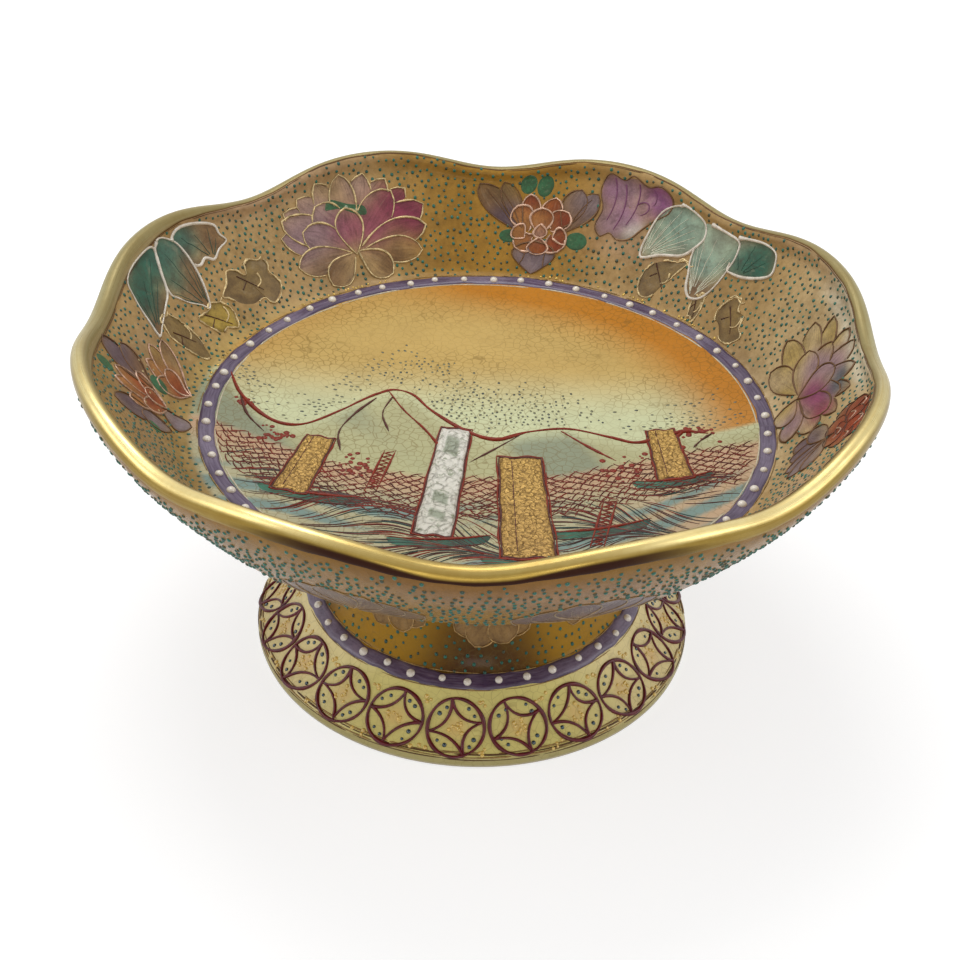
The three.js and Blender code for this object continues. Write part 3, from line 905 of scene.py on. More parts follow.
chance = np.random.default_rng(7)
bead_angle = 2 * math.pi * (np.arange(well_bead_count) + 0.5) / well_bead_count
bead_angle = bead_angle + chance.normal(0, 0.006, well_bead_count)
bead_run = band_middle(bead_angle) + chance.normal(0, 0.25, well_bead_count)
bead_white = ink("efe8dc")
bead_size = bead_radius * chance.uniform(0.85, 1.12, well_bead_count)
well_beads = sprinkled(
    "well_beads", inside, bead_angle, bead_run, bead_size, band_thickness, bead_white, white_enamel,
    segments=16, rings=10, height=0.8)
foot_bead_angle = 2 * math.pi * np.arange(foot_bead_count) / foot_bead_count - math.pi / 2
foot_bead_angle = foot_bead_angle + chance.normal(0, 0.008, foot_bead_count)
foot_bead_run = foot_band_run + chance.normal(0, 0.2, foot_bead_count)
foot_bead_size = bead_radius * chance.uniform(0.85, 1.15, foot_bead_count)
foot_beads = sprinkled(
    "foot_beads", foot_face, foot_bead_angle, foot_bead_run, foot_bead_size, band_thickness, bead_white,
    white_enamel, segments=16, rings=10, height=0.8)
for made in (well_beads, foot_beads):
    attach(made, "root")

# Coin roundels on the foot.
# Twenty-one old coin signs, trailed in maroon slip by hand: a ring, and four arcs that bend inwards.
# Every ring is a little out of true, as one that is drawn without a compass is.
coin_radius = 7.4
coin_trail = 0.43
coin_waist = 0.9
ring_steps = 48
arc_steps = 14

trail, start = geometry_tree("slip_trail", {"Lines": "Geometry", "Sides": "Int", "Finish": "Material"})
threads = node(trail, "GeometryNodeMeshToCurve", {"Mesh": start["Lines"]})
bore = node(trail, "GeometryNodeCurvePrimitiveCircle", {"Resolution": start["Sides"], "Radius": 1.0})
tube = node(trail, "GeometryNodeCurveToMesh", {
    "Curve": threads.outputs[0], "Profile Curve": bore.outputs[0],
    "Scale": named(trail, "thickness", "FLOAT"), "Fill Caps": True})
shaped(trail, start, tube.outputs[0], "Trail")


def trailed(name, line, strokes, finish, sides):
    """Raised lines on a face; a stroke has angles, runs, radii in mm, lift, colour, and may be closed."""
    points, edges, thickness, paint = [], [], [], []
    base = 0
    for angle, run, radius, lift, colour, closed in strokes:
        count = len(angle)
        radius = np.broadcast_to(radius, (count,))
        points.append(on(line, angle, run, lift + 0 * np.asarray(angle, float)))
        edges += [(base + i, base + i + 1) for i in range(count - 1)]
        if closed:
            edges.append((base + count - 1, base))
        thickness.append(radius * MM)
        paint.append(np.broadcast_to(colour, (count, 3)))
        base += count
    mesh = bpy.data.meshes.new(name + "_lines")
    mesh.from_pydata((np.vstack(points) * MM).tolist(), edges, [])
    stored(mesh, "thickness", np.concatenate(thickness))
    coloured(mesh, np.vstack(paint))
    return grown(name, placed(name + "_lines", mesh), trail, {"Sides": sides, "Finish": finish})


maroon = ink("6a1420")
maroon_enamel = enamel(
    "maroon_slip", "2c0a10", 0.0015, 0.6,
    {"Roughness": 0.28, "Specular IOR Level": 0.3, "Coat Weight": 0.12}, (0.3, 0.0001))


def coin_place(turn, x, y):
    """A point of a coin's own plan, x to the right and y up the skirt, laid on the foot."""
    return turn + x / coin_ring, skirt_middle_run + y


def coin_strokes(turn, number):
    """One hand-drawn coin: the ring, then four arcs between points on it."""
    luck = np.random.default_rng(100 + number)
    sway = luck.normal(0, 1, 6)
    tilt = luck.normal(0, 0.22)
    step = np.linspace(0, 2 * math.pi, ring_steps + 1)[:-1]
    ring = 1 + 0.012 * sway[0] * np.cos(2 * step + sway[1]) + 0.01 * np.sin(3 * step + sway[2])
    ring = coin_radius * ring
    thick = coin_trail * (1 + 0.2 * np.sin(step * 2 + sway[3]) + 0.12 * np.sin(7 * step + sway[4]))
    angle, run = coin_place(turn, (ring - 0.45) * np.cos(step), (ring - 0.45) * np.sin(step))
    strokes = [(angle, run, thick, 0.12, maroon, True)]
    corners = [tilt + math.pi / 2 * k + luck.normal(0, 0.07) for k in range(4)]
    for k in range(4):
        first, second = corners[k], corners[(k + 1) % 4] + (2 * math.pi if k == 3 else 0)
        reach = coin_radius - 0.6
        start = reach * np.array([math.cos(first), math.sin(first)])
        end = reach * np.array([math.cos(second), math.sin(second)]) * luck.uniform(0.88, 1.0)
        middle = (first + second) / 2
        pull = (coin_waist + luck.normal(0.3, 0.3)) * np.array([math.cos(middle), math.sin(middle)])
        arc = bend([start, pull, end], arc_steps)
        angle, run = coin_place(turn, arc[:, 0], arc[:, 1])
        thick = coin_trail * 0.85 * (1 + 0.25 * np.linspace(1, -1, arc_steps) * luck.choice([-1, 1]))
        strokes.append((angle, run, thick, 0.1, maroon, False))
    return strokes


coin_turns = [coin_first + 2 * math.pi * number / coin_count for number in range(coin_count)]
for number, turn in enumerate(coin_turns):
    coin = trailed(f"coin_sign_{number + 1:02d}", foot_face, coin_strokes(turn, number), maroon_enamel, 8)
    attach(coin, "root")
    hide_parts(f"coin_roundel_{number + 1:02d}")

# Drops and gold on the foot.
# Small drops of dark teal and of gold enamel, set by hand inside every coin and between the coins.
# A broken line of gold with a brown line under it follows the edge of the skirt.
drop_teal = ink("1d3f4a")
drop_gold = ink("ecc866")
drop_enamel = enamel("drop_enamel", "3a2a12", 0.0009, 0.3, {"Roughness": 0.2, "Coat Weight": 0.6})
coin_drops = []
for number, turn in enumerate(coin_turns):
    luck = np.random.default_rng(300 + number)
    for quarter in range(4):
        middle = math.pi / 4 + quarter * math.pi / 2 + luck.normal(0, 0.08)
        for sign in (-1, 1):
            reach = coin_radius * luck.uniform(0.66, 0.78)
            spin = middle + sign * luck.uniform(0.16, 0.24)
            size = luck.uniform(0.42, 0.62)
            coin_drops.append((turn, reach * math.cos(spin), reach * math.sin(spin), size, drop_teal))
    for _ in range(luck.integers(7, 12)):
        spin, reach = luck.uniform(0, 2 * math.pi), 2.3 * math.sqrt(luck.uniform())
        size = luck.uniform(0.38, 0.58)
        coin_drops.append((turn, reach * math.cos(spin), reach * math.sin(spin), size, drop_gold))
    between = turn + coin_pitch / 2
    for side in (-1, 1):
        for _ in range(luck.integers(3, 5)):
            x, y = luck.uniform(-2.2, 2.2), side * luck.uniform(5.0, 7.0)
            coin_drops.append((between, x, y, luck.uniform(0.4, 0.62), drop_gold))
drop_turn, drop_x, drop_y, drop_size, drop_colour = (np.array(part) for part in zip(*coin_drops))
drop_angle, drop_run = coin_place(drop_turn, drop_x, drop_y)
foot_drops = sprinkled(
    "foot_drops", foot_face, drop_angle, drop_run, drop_size, 0.02, drop_colour, drop_enamel,
    segments=8, rings=6, height=0.6)
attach(foot_drops, "root")

line_gold = enamel(
    "trailed_gold", "4d3519", 0.0016, 0.75, {"Metallic": 0.35, "Roughness": 0.34}, (0.4, 0.0001))
ink_enamel = enamel(
    "painted_line", "2a1712", 0.0014, 0.45,
    {"Roughness": 0.35, "Specular IOR Level": 0.2, "Coat Weight": 0.05})
edge_gold = ink("a8864a")
edge_brown = ink("6a4a2c")


def broken_ring(run, radius, lift, colour, dashes, seed):
    """A line round the piece that the brush left and took up again."""
    luck = np.random.default_rng(seed)
    strokes = []
    pitch = 2 * math.pi / dashes
    for number in range(dashes):
        length = pitch * luck.uniform(0.72, 1.02)
        angle = number * pitch + luck.uniform(0, 0.1) * pitch + np.linspace(0, length, 14)
        sway = luck.normal(0, 0.06) + 0.07 * np.sin(9 * angle + luck.uniform(0, 6))
        thick = radius * (1 + 0.3 * np.sin(17 * angle + luck.uniform(0, 6)))
        thick[[0, -1]] *= 0.35
        here = run(angle) if callable(run) else run
        strokes.append((angle, here + sway, thick, lift, colour, False))
    return strokes


foot_lines = broken_ring(0.6, 0.22, 0.0, edge_gold, 26, 41)
foot_lines += broken_ring(-0.5, 0.2, 0.0, edge_gold, 19, 42)
foot_edging = trailed("foot_edging", foot_face, foot_lines, line_gold, 6)
brown_lines = broken_ring(0.05, 0.2, 0.02, edge_brown, 23, 43)
brown_lines += broken_ring(-1.1, 0.14, 0.02, edge_brown, 15, 49)
brown_edging = trailed("foot_brown_edging", foot_face, brown_lines, ink_enamel, 5)
beside_band = foot_band_width / 2 + 0.1
band_lines = broken_ring(foot_band_run + beside_band, 0.17, 0.05, edge_gold, 17, 44)
band_lines += broken_ring(foot_band_run - beside_band, 0.12, 0.05, edge_gold, 9, 45)
band_gold = trailed("foot_band_gold", foot_face, band_lines, line_gold, 6)
for made in (foot_edging, brown_edging, band_gold):
    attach(made, "root")

# Lines beside the well band.
# A thin gold thread along its outer side, cream slip along its inner side, and gold pinheads on the wall.
# They hide the joint between the enamel and the painted ground.
cream_slip = ink("d9d0b4")
white_slip = enamel(
    "white_slip", "9a8768", 0.002, 0.55, {"Roughness": 0.3, "Coat Weight": 0.3}, (0.5, 0.00015))
band_half = band_width / 2
gold_thread = broken_ring(
    lambda angle: band_middle(angle) + band_half + 0.1, 0.16, 0.06, edge_gold, 37, 46)
cream_thread = broken_ring(
    lambda angle: band_middle(angle) - band_half - 0.25, 0.18, 0.0, cream_slip, 23, 47)
rim_thread = broken_ring(lambda angle: gilt_run(angle) - 0.1, 0.11, 0.03, edge_brown, 29, 50)
well_thread = trailed("well_band_gold", inside, gold_thread, line_gold, 6)
well_cream = trailed("well_band_cream", inside, cream_thread, white_slip, 6)
chance = np.random.default_rng(48)
pin_groups = (128, 117, 76, 55, 38, 164, 250, 300)
pin_spread = 0.07
pins_each = 9
pin_angle = np.concatenate([
    chance.normal(math.radians(place), pin_spread, pins_each) for place in pin_groups])
pin_run = band_middle(pin_angle) + band_half + chance.uniform(0.5, 1.2, len(pin_angle))
pin_size = chance.uniform(0.25, 0.45, len(pin_angle))
pinheads = sprinkled(
    "gold_pinheads", inside, pin_angle, pin_run, pin_size, 0.02, drop_gold, line_gold, segments=8, rings=6,
    height=0.7)
rim_hairline = trailed("rim_hairline", inside, rim_thread, ink_enamel, 5)
for made, finish in (
        (well_thread, "gilding"), (well_cream, "slip"), (pinheads, "gilding"), (rim_hairline, "slip")):
    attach(made, "root")

# Flowers and leaves of the wall.
# Lotus, peony and autumn flowers with large teal leaves, washed in enamel and outlined in raised slip.
# The washes lie over each other in the order of painting, and each fades out where its colour ends.
inner_reach = 81.0
outer_reach = 86.0
stem_reach = 39.0
stem_hang = 17.0
wash_lift = 0.06
wash_step = 0.004
flower_level = 4
broad_leaf_level = 12
petal_belly = 0.62
petal_fullness = 0.62
petal_rows = 15
petal_columns = 9
patch_rings = 9
thread_steps = 14
leaf_steps = 56
cloud_cover = 2.6
wash_depth = 0.93
rose = ink("a85a70")
rose_deep = ink("98405e")
blush = ink("c3a08e")
mauve = ink("a5858c")
ochre = ink("a98a4c")
umber = ink("8a6844")
rust = ink("a8562c")
brick = ink("93402a")
rust_red = ink("a83e1e")
apricot = ink("bb7f49")
slate = ink("675868")
slate_pale = ink("8d7d84")
slate_blue = ink("57616a")
moss = ink("2a7552")
moss_grey = ink("6a7c62")
viridian = ink("2f6b58")
teal_deep = ink("4a8272")
celadon = ink("b3c9ae")
celadon_deep = ink("83a695")
bronze = ink("8b7245")
bronze_light = ink("a58a50")
yellow_leaf = ink("c4a748")
lilac = ink("b083a0")
magenta = ink("93486f")
lilac_deep = ink("a05c98")
bloom_grey = ink("634c55")
bloom_mauve = ink("735645")
stem_petal = ink("a68250")
vein_dark = ink("3c5c4c")
vein_pale = ink("e0e2cc")
outline_gold = ink("e2c993")
outline_pink = ink("dcb49a")
outline_umber = ink("74502f")
outline_brown = ink("553323")
outline_white = ink("efe6d8")


def bundle(reach, ground, datum=0.0):
    """Empty lists for a face's washes, its lines of each slip, and the outlines that keep drops away.

    The reach is the radius at which a motif is laid, below zero on a face that is seen from outside.
    """
    lists = {kind: [] for kind in ("washes", "gold", "white", "brown", "closed")}
    return {"reach": reach, "ground": ground, "datum": datum, "centre": 0, "level": 0, **lists}


def at(work, place, level):
    """The same bundle, moved to a place round the axis in degrees and to a level of its washes."""
    work["centre"] = math.radians(place)
    work["level"] = level
    return work


def within(x, y, outline):
    """Which points lie inside a closed outline."""
    inside_it = np.zeros(np.shape(x), bool)
    for (ax, ay), (bx, by) in zip(outline, np.roll(outline, -1, axis=0)):
        crosses = (ay > y) != (by > y)
        rise = by - ay if by != ay else 1e-9
        inside_it ^= crosses & (x < (bx - ax) * (y - ay) / rise + ax)
    return inside_it


def petal(root, tip, width):
    """A petal as a grid of points over its length and width, from its root to its tip."""
    root, tip = np.array(root, float), np.array(tip, float)
    length = np.linspace(0, 1, petal_rows)[:, None] + np.zeros(petal_columns)
    breadth = np.linspace(-1, 1, petal_columns) + np.zeros((petal_rows, 1))
    power = math.log(0.5) / math.log(petal_belly)
    half = width / 2 * np.sin(np.pi * np.clip(length, 1e-6, 1) ** power) ** petal_fullness
    axis = tip - root
    normal = np.array([-axis[1], axis[0]]) / np.linalg.norm(axis)
    return root + length[..., None] * axis + (breadth * half)[..., None] * normal


def smooth(corners, share):
    """Points between the middle two of four corners, on a smooth curve through all of them."""
    a, b, c, d = corners
    curve = 2 * b + (c - a) * share + (2 * a - 5 * b + 4 * c - d) * share**2
    return 0.5 * (curve + (3 * b - a - 3 * c + d) * share**3)


def patch_of(points, steps=40):
    """A patch inside a smooth closed outline through a few points, as rings round its middle."""
    points = np.array(points, float)
    place = np.linspace(0, len(points), steps, endpoint=False)
    first = place.astype(int)
    outline = smooth([points[(first + k) % len(points)] for k in (-1, 0, 1, 2)], (place - first)[:, None])
    middle = outline.mean(0)
    outline = np.vstack([outline, outline[:1]])
    rings = np.linspace(0.02, 1, patch_rings)[:, None, None]
    return middle + rings * (outline - middle)[None]


def rim_of(grid, closed):
    """The outline of a petal or of a patch."""
    if closed:
        return grid[-1][:-1]
    return np.vstack([grid[:, 0], grid[::-1, -1][1:-1]])


def lay_on(work, points):
    """Plan points of a motif, x mm to the right and y mm up the wall, as angles and runs."""
    return work["centre"] - points[..., 0] / work["reach"], points[..., 1] + work["datum"]


def clouded(work, angle, run, x, y, clouds):
    """The face's ground under soft clouds of enamel; a cloud is its x, y, spread in mm and colour."""
    weights = np.stack([
        np.exp(-((x - cloud[0]) ** 2 + (y - cloud[1]) ** 2) / cloud[2] ** 2) for cloud in clouds])
    total = weights.sum(0)
    colour = np.tensordot(weights, np.array([cloud[3] for cloud in clouds]), (0, 0))
    colour = colour / np.maximum(total, 1e-6)[..., None]
    return mixed(work["ground"](angle, run), colour, 1 - np.exp(-cloud_cover * total))


def wash(work, grid, clouds, patch=False, edge=0.16):
    """Adds one wash: what lies of the clouds inside a petal or a patch, a little darker at its edge."""
    angle, run = lay_on(work, grid)
    if patch:
        rim_fade = np.linspace(0, 1, grid.shape[0])[:, None] + 0 * angle
    else:
        rim_fade = np.abs(np.linspace(-1, 1, grid.shape[1]))[None, :] + 0 * angle
    paint = clouded(work, angle, run, grid[..., 0], grid[..., 1], clouds)
    paint = wash_depth * paint * (1 - edge * ease(rim_fade, 0.6, 1.0))[..., None]
    work["level"] += 1
    work["washes"].append((angle, run, paint, patch, work["level"]))
    angle, run = lay_on(work, rim_of(grid, patch))
    work["closed"].append(np.stack([angle, run], 1))


def ruled(work, kind, points, radius, colour):
    """Adds an open line of slip through plan points, on top of the last wash."""
    angle, run = lay_on(work, points)
    lift = wash_lift + wash_step * work["level"]
    work[kind].append((angle, run, radius, lift, colour, False))


def outlined(work, rims, kind, radius, colour, seed, ends=0.5):
    """Trails the outline of each petal by an unsteady hand, broken off where a later petal covers it."""
    luck = np.random.default_rng(seed)
    for number, rim in enumerate(rims):
        hidden = np.zeros(len(rim), bool)
        for later in rims[number + 1 :]:
            middle = later.mean(0)
            hidden |= within(rim[:, 0], rim[:, 1], middle + 0.93 * (later - middle))
        shown = np.flatnonzero(~hidden)
        if len(shown) < 4:
            continue
        for part in np.split(shown, np.flatnonzero(np.diff(shown) > 1) + 1):
            if len(part) < 3:
                continue
            if len(part) == len(rim):
                part = np.append(part, part[0])
            step = np.linspace(0, 1, len(part))
            sway = [np.sin(7 * step + luck.uniform(0, 6)), np.sin(5 * step + luck.uniform(0, 6))]
            thick = radius * (1 + 0.3 * np.sin(9 * step + luck.uniform(0, 6))) * luck.uniform(0.8, 1.2)
            thick[[0, -1]] *= ends
            ruled(work, kind, rim[part] + 0.16 * np.stack(sway, 1), thick, colour)


def flower(work, petals, clouds, kind, radius, colour, seed):
    """A flower from its petals, the back ones first (root, tip, width), under its clouds of colour."""
    rims = []
    for root, tip, width in petals:
        grid = petal(root, tip, width)
        wash(work, grid, clouds)
        rims.append(rim_of(grid, False))
    outlined(work, rims, kind, radius, colour, seed)


def fan(root, tips, width):
    """Petals that share one root."""
    return [(root, tip, width) for tip in tips]


def berries(work, places, colour):
    """Small full ovals of enamel: x, y, half width and half height."""
    spin = np.linspace(0, 2 * math.pi, 8, endpoint=False)
    for x, y, wide, tall in places:
        outline = np.stack([x + wide * np.cos(spin), y + tall * np.sin(spin)], 1)
        wash(work, patch_of(outline, 24), [(x, y, 30, colour)], True)


def threads_of(work, kind, radius, colour, curves):
    """Loose lines of slip, each a Bezier curve through its control points."""
    for points in curves:
        thick = radius * np.linspace(1.25, 0.7, thread_steps)
        ruled(work, kind, bend(points, thread_steps), thick, colour)


def lotus(work, seed):
    """A lotus with bare petals behind, mauve on its left and rose on its right, and a green seed head."""
    petals = fan((0, 14), [(-17, 29), (17, 27), (-12, 31), (12, 30), (-6.4, 32.6), (6.4, 32), (0, 33)], 7)
    petals += fan((-1, 12), [(-20, 22.5), (-18, 27)], 8.5) + fan((1, 12), [(21.5, 23)], 8.5)
    petals += [
        ((0, 13), (-8, 27), 9), ((0, 13), (13, 26.5), 9), ((-1, 12), (-13.5, 21.5), 9),
        ((1, 12), (21.5, 17.5), 8), ((-1, 12), (-18.5, 12.5), 8.5), ((2, 12), (20, 10.5), 7.5),
        ((0, 12), (-10, 4.8), 8), ((1, 12), (10, 5), 7.5), ((0, 11.5), (0, 24), 8)]
    clouds = [
        (-16, 19, 5.5, mauve), (-9, 21, 6, mauve), (-12, 27, 4, blush), (-2, 19, 4, rose),
        (6, 18, 4.5, rose), (13, 23, 5, rose_deep), (19, 20, 5, rose_deep), (-10, 9, 5, umber),
        (11, 8, 4, umber), (5, 29, 4, blush)]
    flower(work, petals, clouds, "gold", 0.25, outline_gold, seed)
    head = patch_of([(-6, 25), (-2, 24.4), (3, 21.5), (6, 21), (5.6, 23.5), (1, 25), (-4, 27.5)])
    wash(work, head, [(0, 24, 30, moss)], True)
    berries(work, [(-2.5, 25.6, 0.5, 0.5), (0.4, 24.2, 0.5, 0.5), (3, 23, 0.5, 0.5)], celadon)


def peony(work, seed):
    """A small round peony in rust and brick, between striped leaves, with green berries."""
    leaves = [
        ((-6, 17), (-17, 31.5), 7.5), ((-5, 18), (-11, 32), 5), ((7, 17), (14, 28), 6),
        ((6, 18), (9.5, 29), 6.5), ((-1, 4.6), (-1, 14), 13)]
    clouds = [
        (-15, 28, 4.5, umber), (-10, 21, 5, slate), (-11, 29, 3, bronze), (12, 25, 5, slate_pale),
        (9, 21, 4, umber), (-2, 9, 5.5, slate_pale), (4, 8, 4, slate_pale)]
    flower(work, leaves, clouds, "gold", 0.2, outline_umber, seed)
    stripes = [
        [(-7, 18), (-11, 24), (-15.5, 30)], [(-6, 19), (-8, 25), (-12, 30.5)],
        [(8, 19), (10, 24), (12.5, 26.5)], [(-5, 7), (-3, 10), (-3.5, 12)], [(2.5, 7), (2, 10), (3, 12)]]
    threads_of(work, "gold", 0.16, outline_umber, stripes)
    buds = [(-4.5, 31, 2.2, 3.0), (-0.2, 30, 2.2, 3.2), (-8.7, 15.5, 2.8, 2.1), (10.8, 15, 3.2, 2.5)]
    berries(work, buds, moss)
    petals = [
        ((-2.5, 18), (-3.8, 28), 5), ((2, 18), (3, 26.5), 5.5), ((-3, 17), (-7, 24.5), 6),
        ((3, 17), (7, 22.5), 6), ((-2, 16), (-6.5, 12), 6.5), ((3, 16), (6, 11.5), 6.5),
        ((0, 15), (0, 10.3), 6), ((-4, 15), (-7.5, 18), 5), ((4, 15), (7.5, 16.5), 5),
        ((0, 16), (0, 23.5), 6.5), ((0, 19), (0.2, 15), 4)]
    clouds = [
        (-3.5, 26, 3, brick), (3, 24, 3, rust), (6.5, 20, 3.5, brick), (5.5, 13, 3, brick),
        (-6, 22, 3.5, apricot), (-6, 15, 4, apricot), (0, 20, 3, apricot), (0, 13, 3.5, rust),
        (0, 16, 2, blush)]
    flower(work, petals, clouds, "gold", 0.3, outline_pink, seed + 1)


def lilac_head(work, seed):
    """A ragged lilac, magenta on one side, with brown squiggles at its edge."""
    head = patch_of([
        (-10, 20), (-9, 24.5), (-10.6, 29.5), (-9, 34), (-5, 33), (-2.5, 34.8), (1.5, 33.2), (5, 34.8),
        (8.6, 33), (8.6, 29), (5.5, 25.5), (3, 22), (0.5, 18.6), (-3, 17.6), (-5.5, 18.8), (-8, 17.4)], 64)
    clouds = [
        (-7, 30, 3.5, lilac), (-2, 24, 3.5, lilac), (5, 31, 4, lilac_deep), (1, 28, 2.5, blush),
        (-6, 21, 3.5, mauve), (-3, 31, 2.5, mauve), (1, 20.5, 2.5, outline_white)]
    wash(work, head, clouds, True)
    outlined(work, [rim_of(head, True)], "gold", 0.2, outline_umber, seed)
    threads_of(work, "brown", 0.19, ink("8a5478"), [
        [(-7.5, 33), (-5, 28), (-7, 22)], [(-4.5, 32), (-2, 26), (-4.5, 20)],
        [(-1, 33), (1, 28), (-1.5, 22)], [(0, 28), (3, 31), (4.5, 27), (1.5, 25.5)],
        [(3, 33), (5, 31), (4, 29)]])


def chrysanthemum(work, seed):
    """A chrysanthemum with long bare petals behind, and a magenta heart."""
    petals = fan((0, 14), [(-13.5, 29), (18, 22), (-6.5, 32), (12, 27.5), (-1.5, 33), (5, 31)], 6)
    petals += fan((-1, 12), [(-17.5, 24), (-20.5, 16), (-17, 8)], 7.5)
    petals += [
        ((1, 12), (19, 14.5), 8), ((1, 11.5), (14.5, 6), 7.5), ((0, 11.5), (5.5, 3.6), 7.5),
        ((0, 12), (-8, 26), 7), ((0, 12), (10.5, 24.5), 8), ((0, 12), (-11.5, 19.5), 8.5),
        ((0, 12), (14.5, 20), 8.5), ((0, 11.5), (0.5, 25), 8)]
    clouds = [
        (2, 16, 4, magenta), (7, 18, 3.5, magenta), (13, 18, 3.5, rose_deep), (-5, 20, 4, mauve),
        (-1, 25, 3.5, mauve), (7.5, 23.5, 3, slate_blue), (4, 26, 2, slate_blue), (9, 8, 4, mauve),
        (-15, 15, 4, wall_straw), (-3, 8, 4, wall_straw), (-10, 27, 4, wall_straw), (14, 25, 3, umber)]
    flower(work, petals, clouds, "gold", 0.21, outline_umber, seed)


def aster(work, seed):
    """Two tall asters in apricot and rust, among slate leaves and green buds."""
    leaves = [
        ((-6, 8), (-15, 25), 7), ((-7, 6), (-12, 16), 6), ((3, 14), (5, 33), 7), ((4, 13), (9.5, 27), 6),
        ((-1, 10), (-2, 0.8), 7)]
    clouds = [
        (-12, 20, 5, slate), (-9, 12, 4, slate_pale), (5, 26, 6, slate), (8, 20, 4, umber),
        (-2, 4, 4, slate_pale)]
    flower(work, leaves, clouds, "gold", 0.2, outline_umber, seed)
    petals = fan((1, 8), [(-9, 20), (-5.5, 25), (-1, 26), (4, 20), (-5.5, 15), (1, 16)], 4.8)
    petals += fan((13.5, 2.5), [(12, 18.5), (17.5, 19.5), (23, 16.5), (9, 13), (15, 12)], 5.8)
    clouds = [
        (-7, 18, 4, apricot), (-3, 24, 3.5, apricot), (-2, 14, 3.5, brick), (2, 19, 3, rust),
        (1, 10, 3.5, rust), (12, 15, 4, apricot), (17, 17, 3.5, ochre), (14, 8, 3.5, rust),
        (13, 4, 3, brick), (21, 15, 3, umber)]
    flower(work, petals, clouds, "gold", 0.24, outline_pink, seed + 1)
    berries(work, [(-3.5, 28.5, 1.9, 3.0), (-12.5, 12, 1.6, 2.2), (8, 12, 2.6, 3.4)], moss)
    luck = np.random.default_rng(seed + 2)
    berries(work, [(*luck.uniform((-6, 9), (18, 22)), 0.35, 0.35) for _ in range(9)], outline_gold)


def rust_bloom(work, seed):
    """A rust ball of small petals over a dark slate spray."""
    spray = fan((0, 20), [(-8, 9), (-3, 8), (3, 8), (8, 10), (-10, 14), (10, 15)], 6)
    clouds = [(-5, 12, 6, slate), (5, 12, 6, slate_pale)]
    flower(work, spray, clouds, "gold", 0.2, outline_umber, seed)
    ball = fan((0, 25), [(-9, 26), (-8, 31), (-3, 34), (3, 34), (8, 31), (9, 26), (-5, 20.5), (5, 20.5)], 7)
    ball += fan((0, 26), [(-4, 30), (4, 30), (0, 22.5)], 5.5)
    clouds = [(-5, 29, 6, brick), (5, 30, 6, rust_red), (0, 24, 5, brick), (0, 32, 5, rust_red)]
    flower(work, ball, clouds, "brown", 0.13, outline_brown, seed + 1)
    threads_of(work, "gold", 0.2, outline_pink, [
        [(-4, 27), (-2, 30), (-1, 26.5)], [(1, 30), (3, 33), (4, 29)], [(-1, 23), (1.5, 26), (3, 22.5)],
        [(-6, 31), (-4, 32.5), (-3.6, 30)], [(5, 27), (6.5, 29), (7, 26.4)]])


def teal_leaves(work, lobes, clouds, pale, seed):
    """Broad leaves under clouds of teal, outlined in white slip, with thin veins that are pale on some."""
    luck = np.random.default_rng(seed)
    rims = []
    for points in lobes:
        grid = patch_of(points, 48)
        wash(work, grid, clouds, True, 0.1)
        rims.append(rim_of(grid, True))
    outlined(work, rims, "white", 0.34, outline_white, seed, 1.7)
    for number, rim in enumerate(rims):
        root = rim[rim[:, 1].argmin()]
        ends = rim[(rim[:, 1] > root[1] + 7)][:: 3 if number in pale else 4]
        kind, colour = ("white", vein_pale) if number in pale else ("brown", vein_dark)
        for end in ends:
            path = root + np.linspace(0.16, luck.uniform(0.7, 0.9), 9)[:, None] * (end - root)
            path = path + luck.normal(0, 0.08, path.shape)
            ruled(work, kind, path, 0.12 * np.linspace(1.2, 0.5, 9), colour)


leaf_shapes = {
    "lobed": [
        (-8, 13.5), (-5.5, 15.5), (-3.6, 18.6), (-1.2, 18), (0.6, 16), (2, 19.4), (5, 19.8), (7.2, 17.6),
        (6.6, 14.6), (8.2, 11.6), (7.4, 8), (4, 5.8), (2.4, 8.4), (-1, 7.8), (-4.4, 9.4), (-6.4, 12)],
    "long": [
        (-3.6, 18), (-1.4, 19.6), (1.6, 17), (3.8, 12), (4.6, 7), (3.2, 3.4), (0, 5.4), (-2.6, 10),
        (-4.2, 14)],
    "small": [
        (-4.6, 12.4), (-1, 12.4), (1.6, 13.6), (4.2, 9.4), (3.2, 4.8), (0.6, 6.4), (-1.4, 6), (-3.2, 9)],
    "stepped": [
        (-4.6, 12), (-3, 15.6), (-0.4, 16.8), (0.8, 13.8), (3.4, 13.4), (4.4, 10), (6.6, 8.6), (4.6, 5.4),
        (1, 5), (-2, 7.8), (-4.2, 9)],
    "flame": [
        (-4.6, 8), (-4.2, 13), (-1.2, 16.4), (2.8, 18), (6.8, 19.8), (4.8, 15), (2.6, 10.4), (0.6, 6.4),
        (-2.6, 5.6)]}


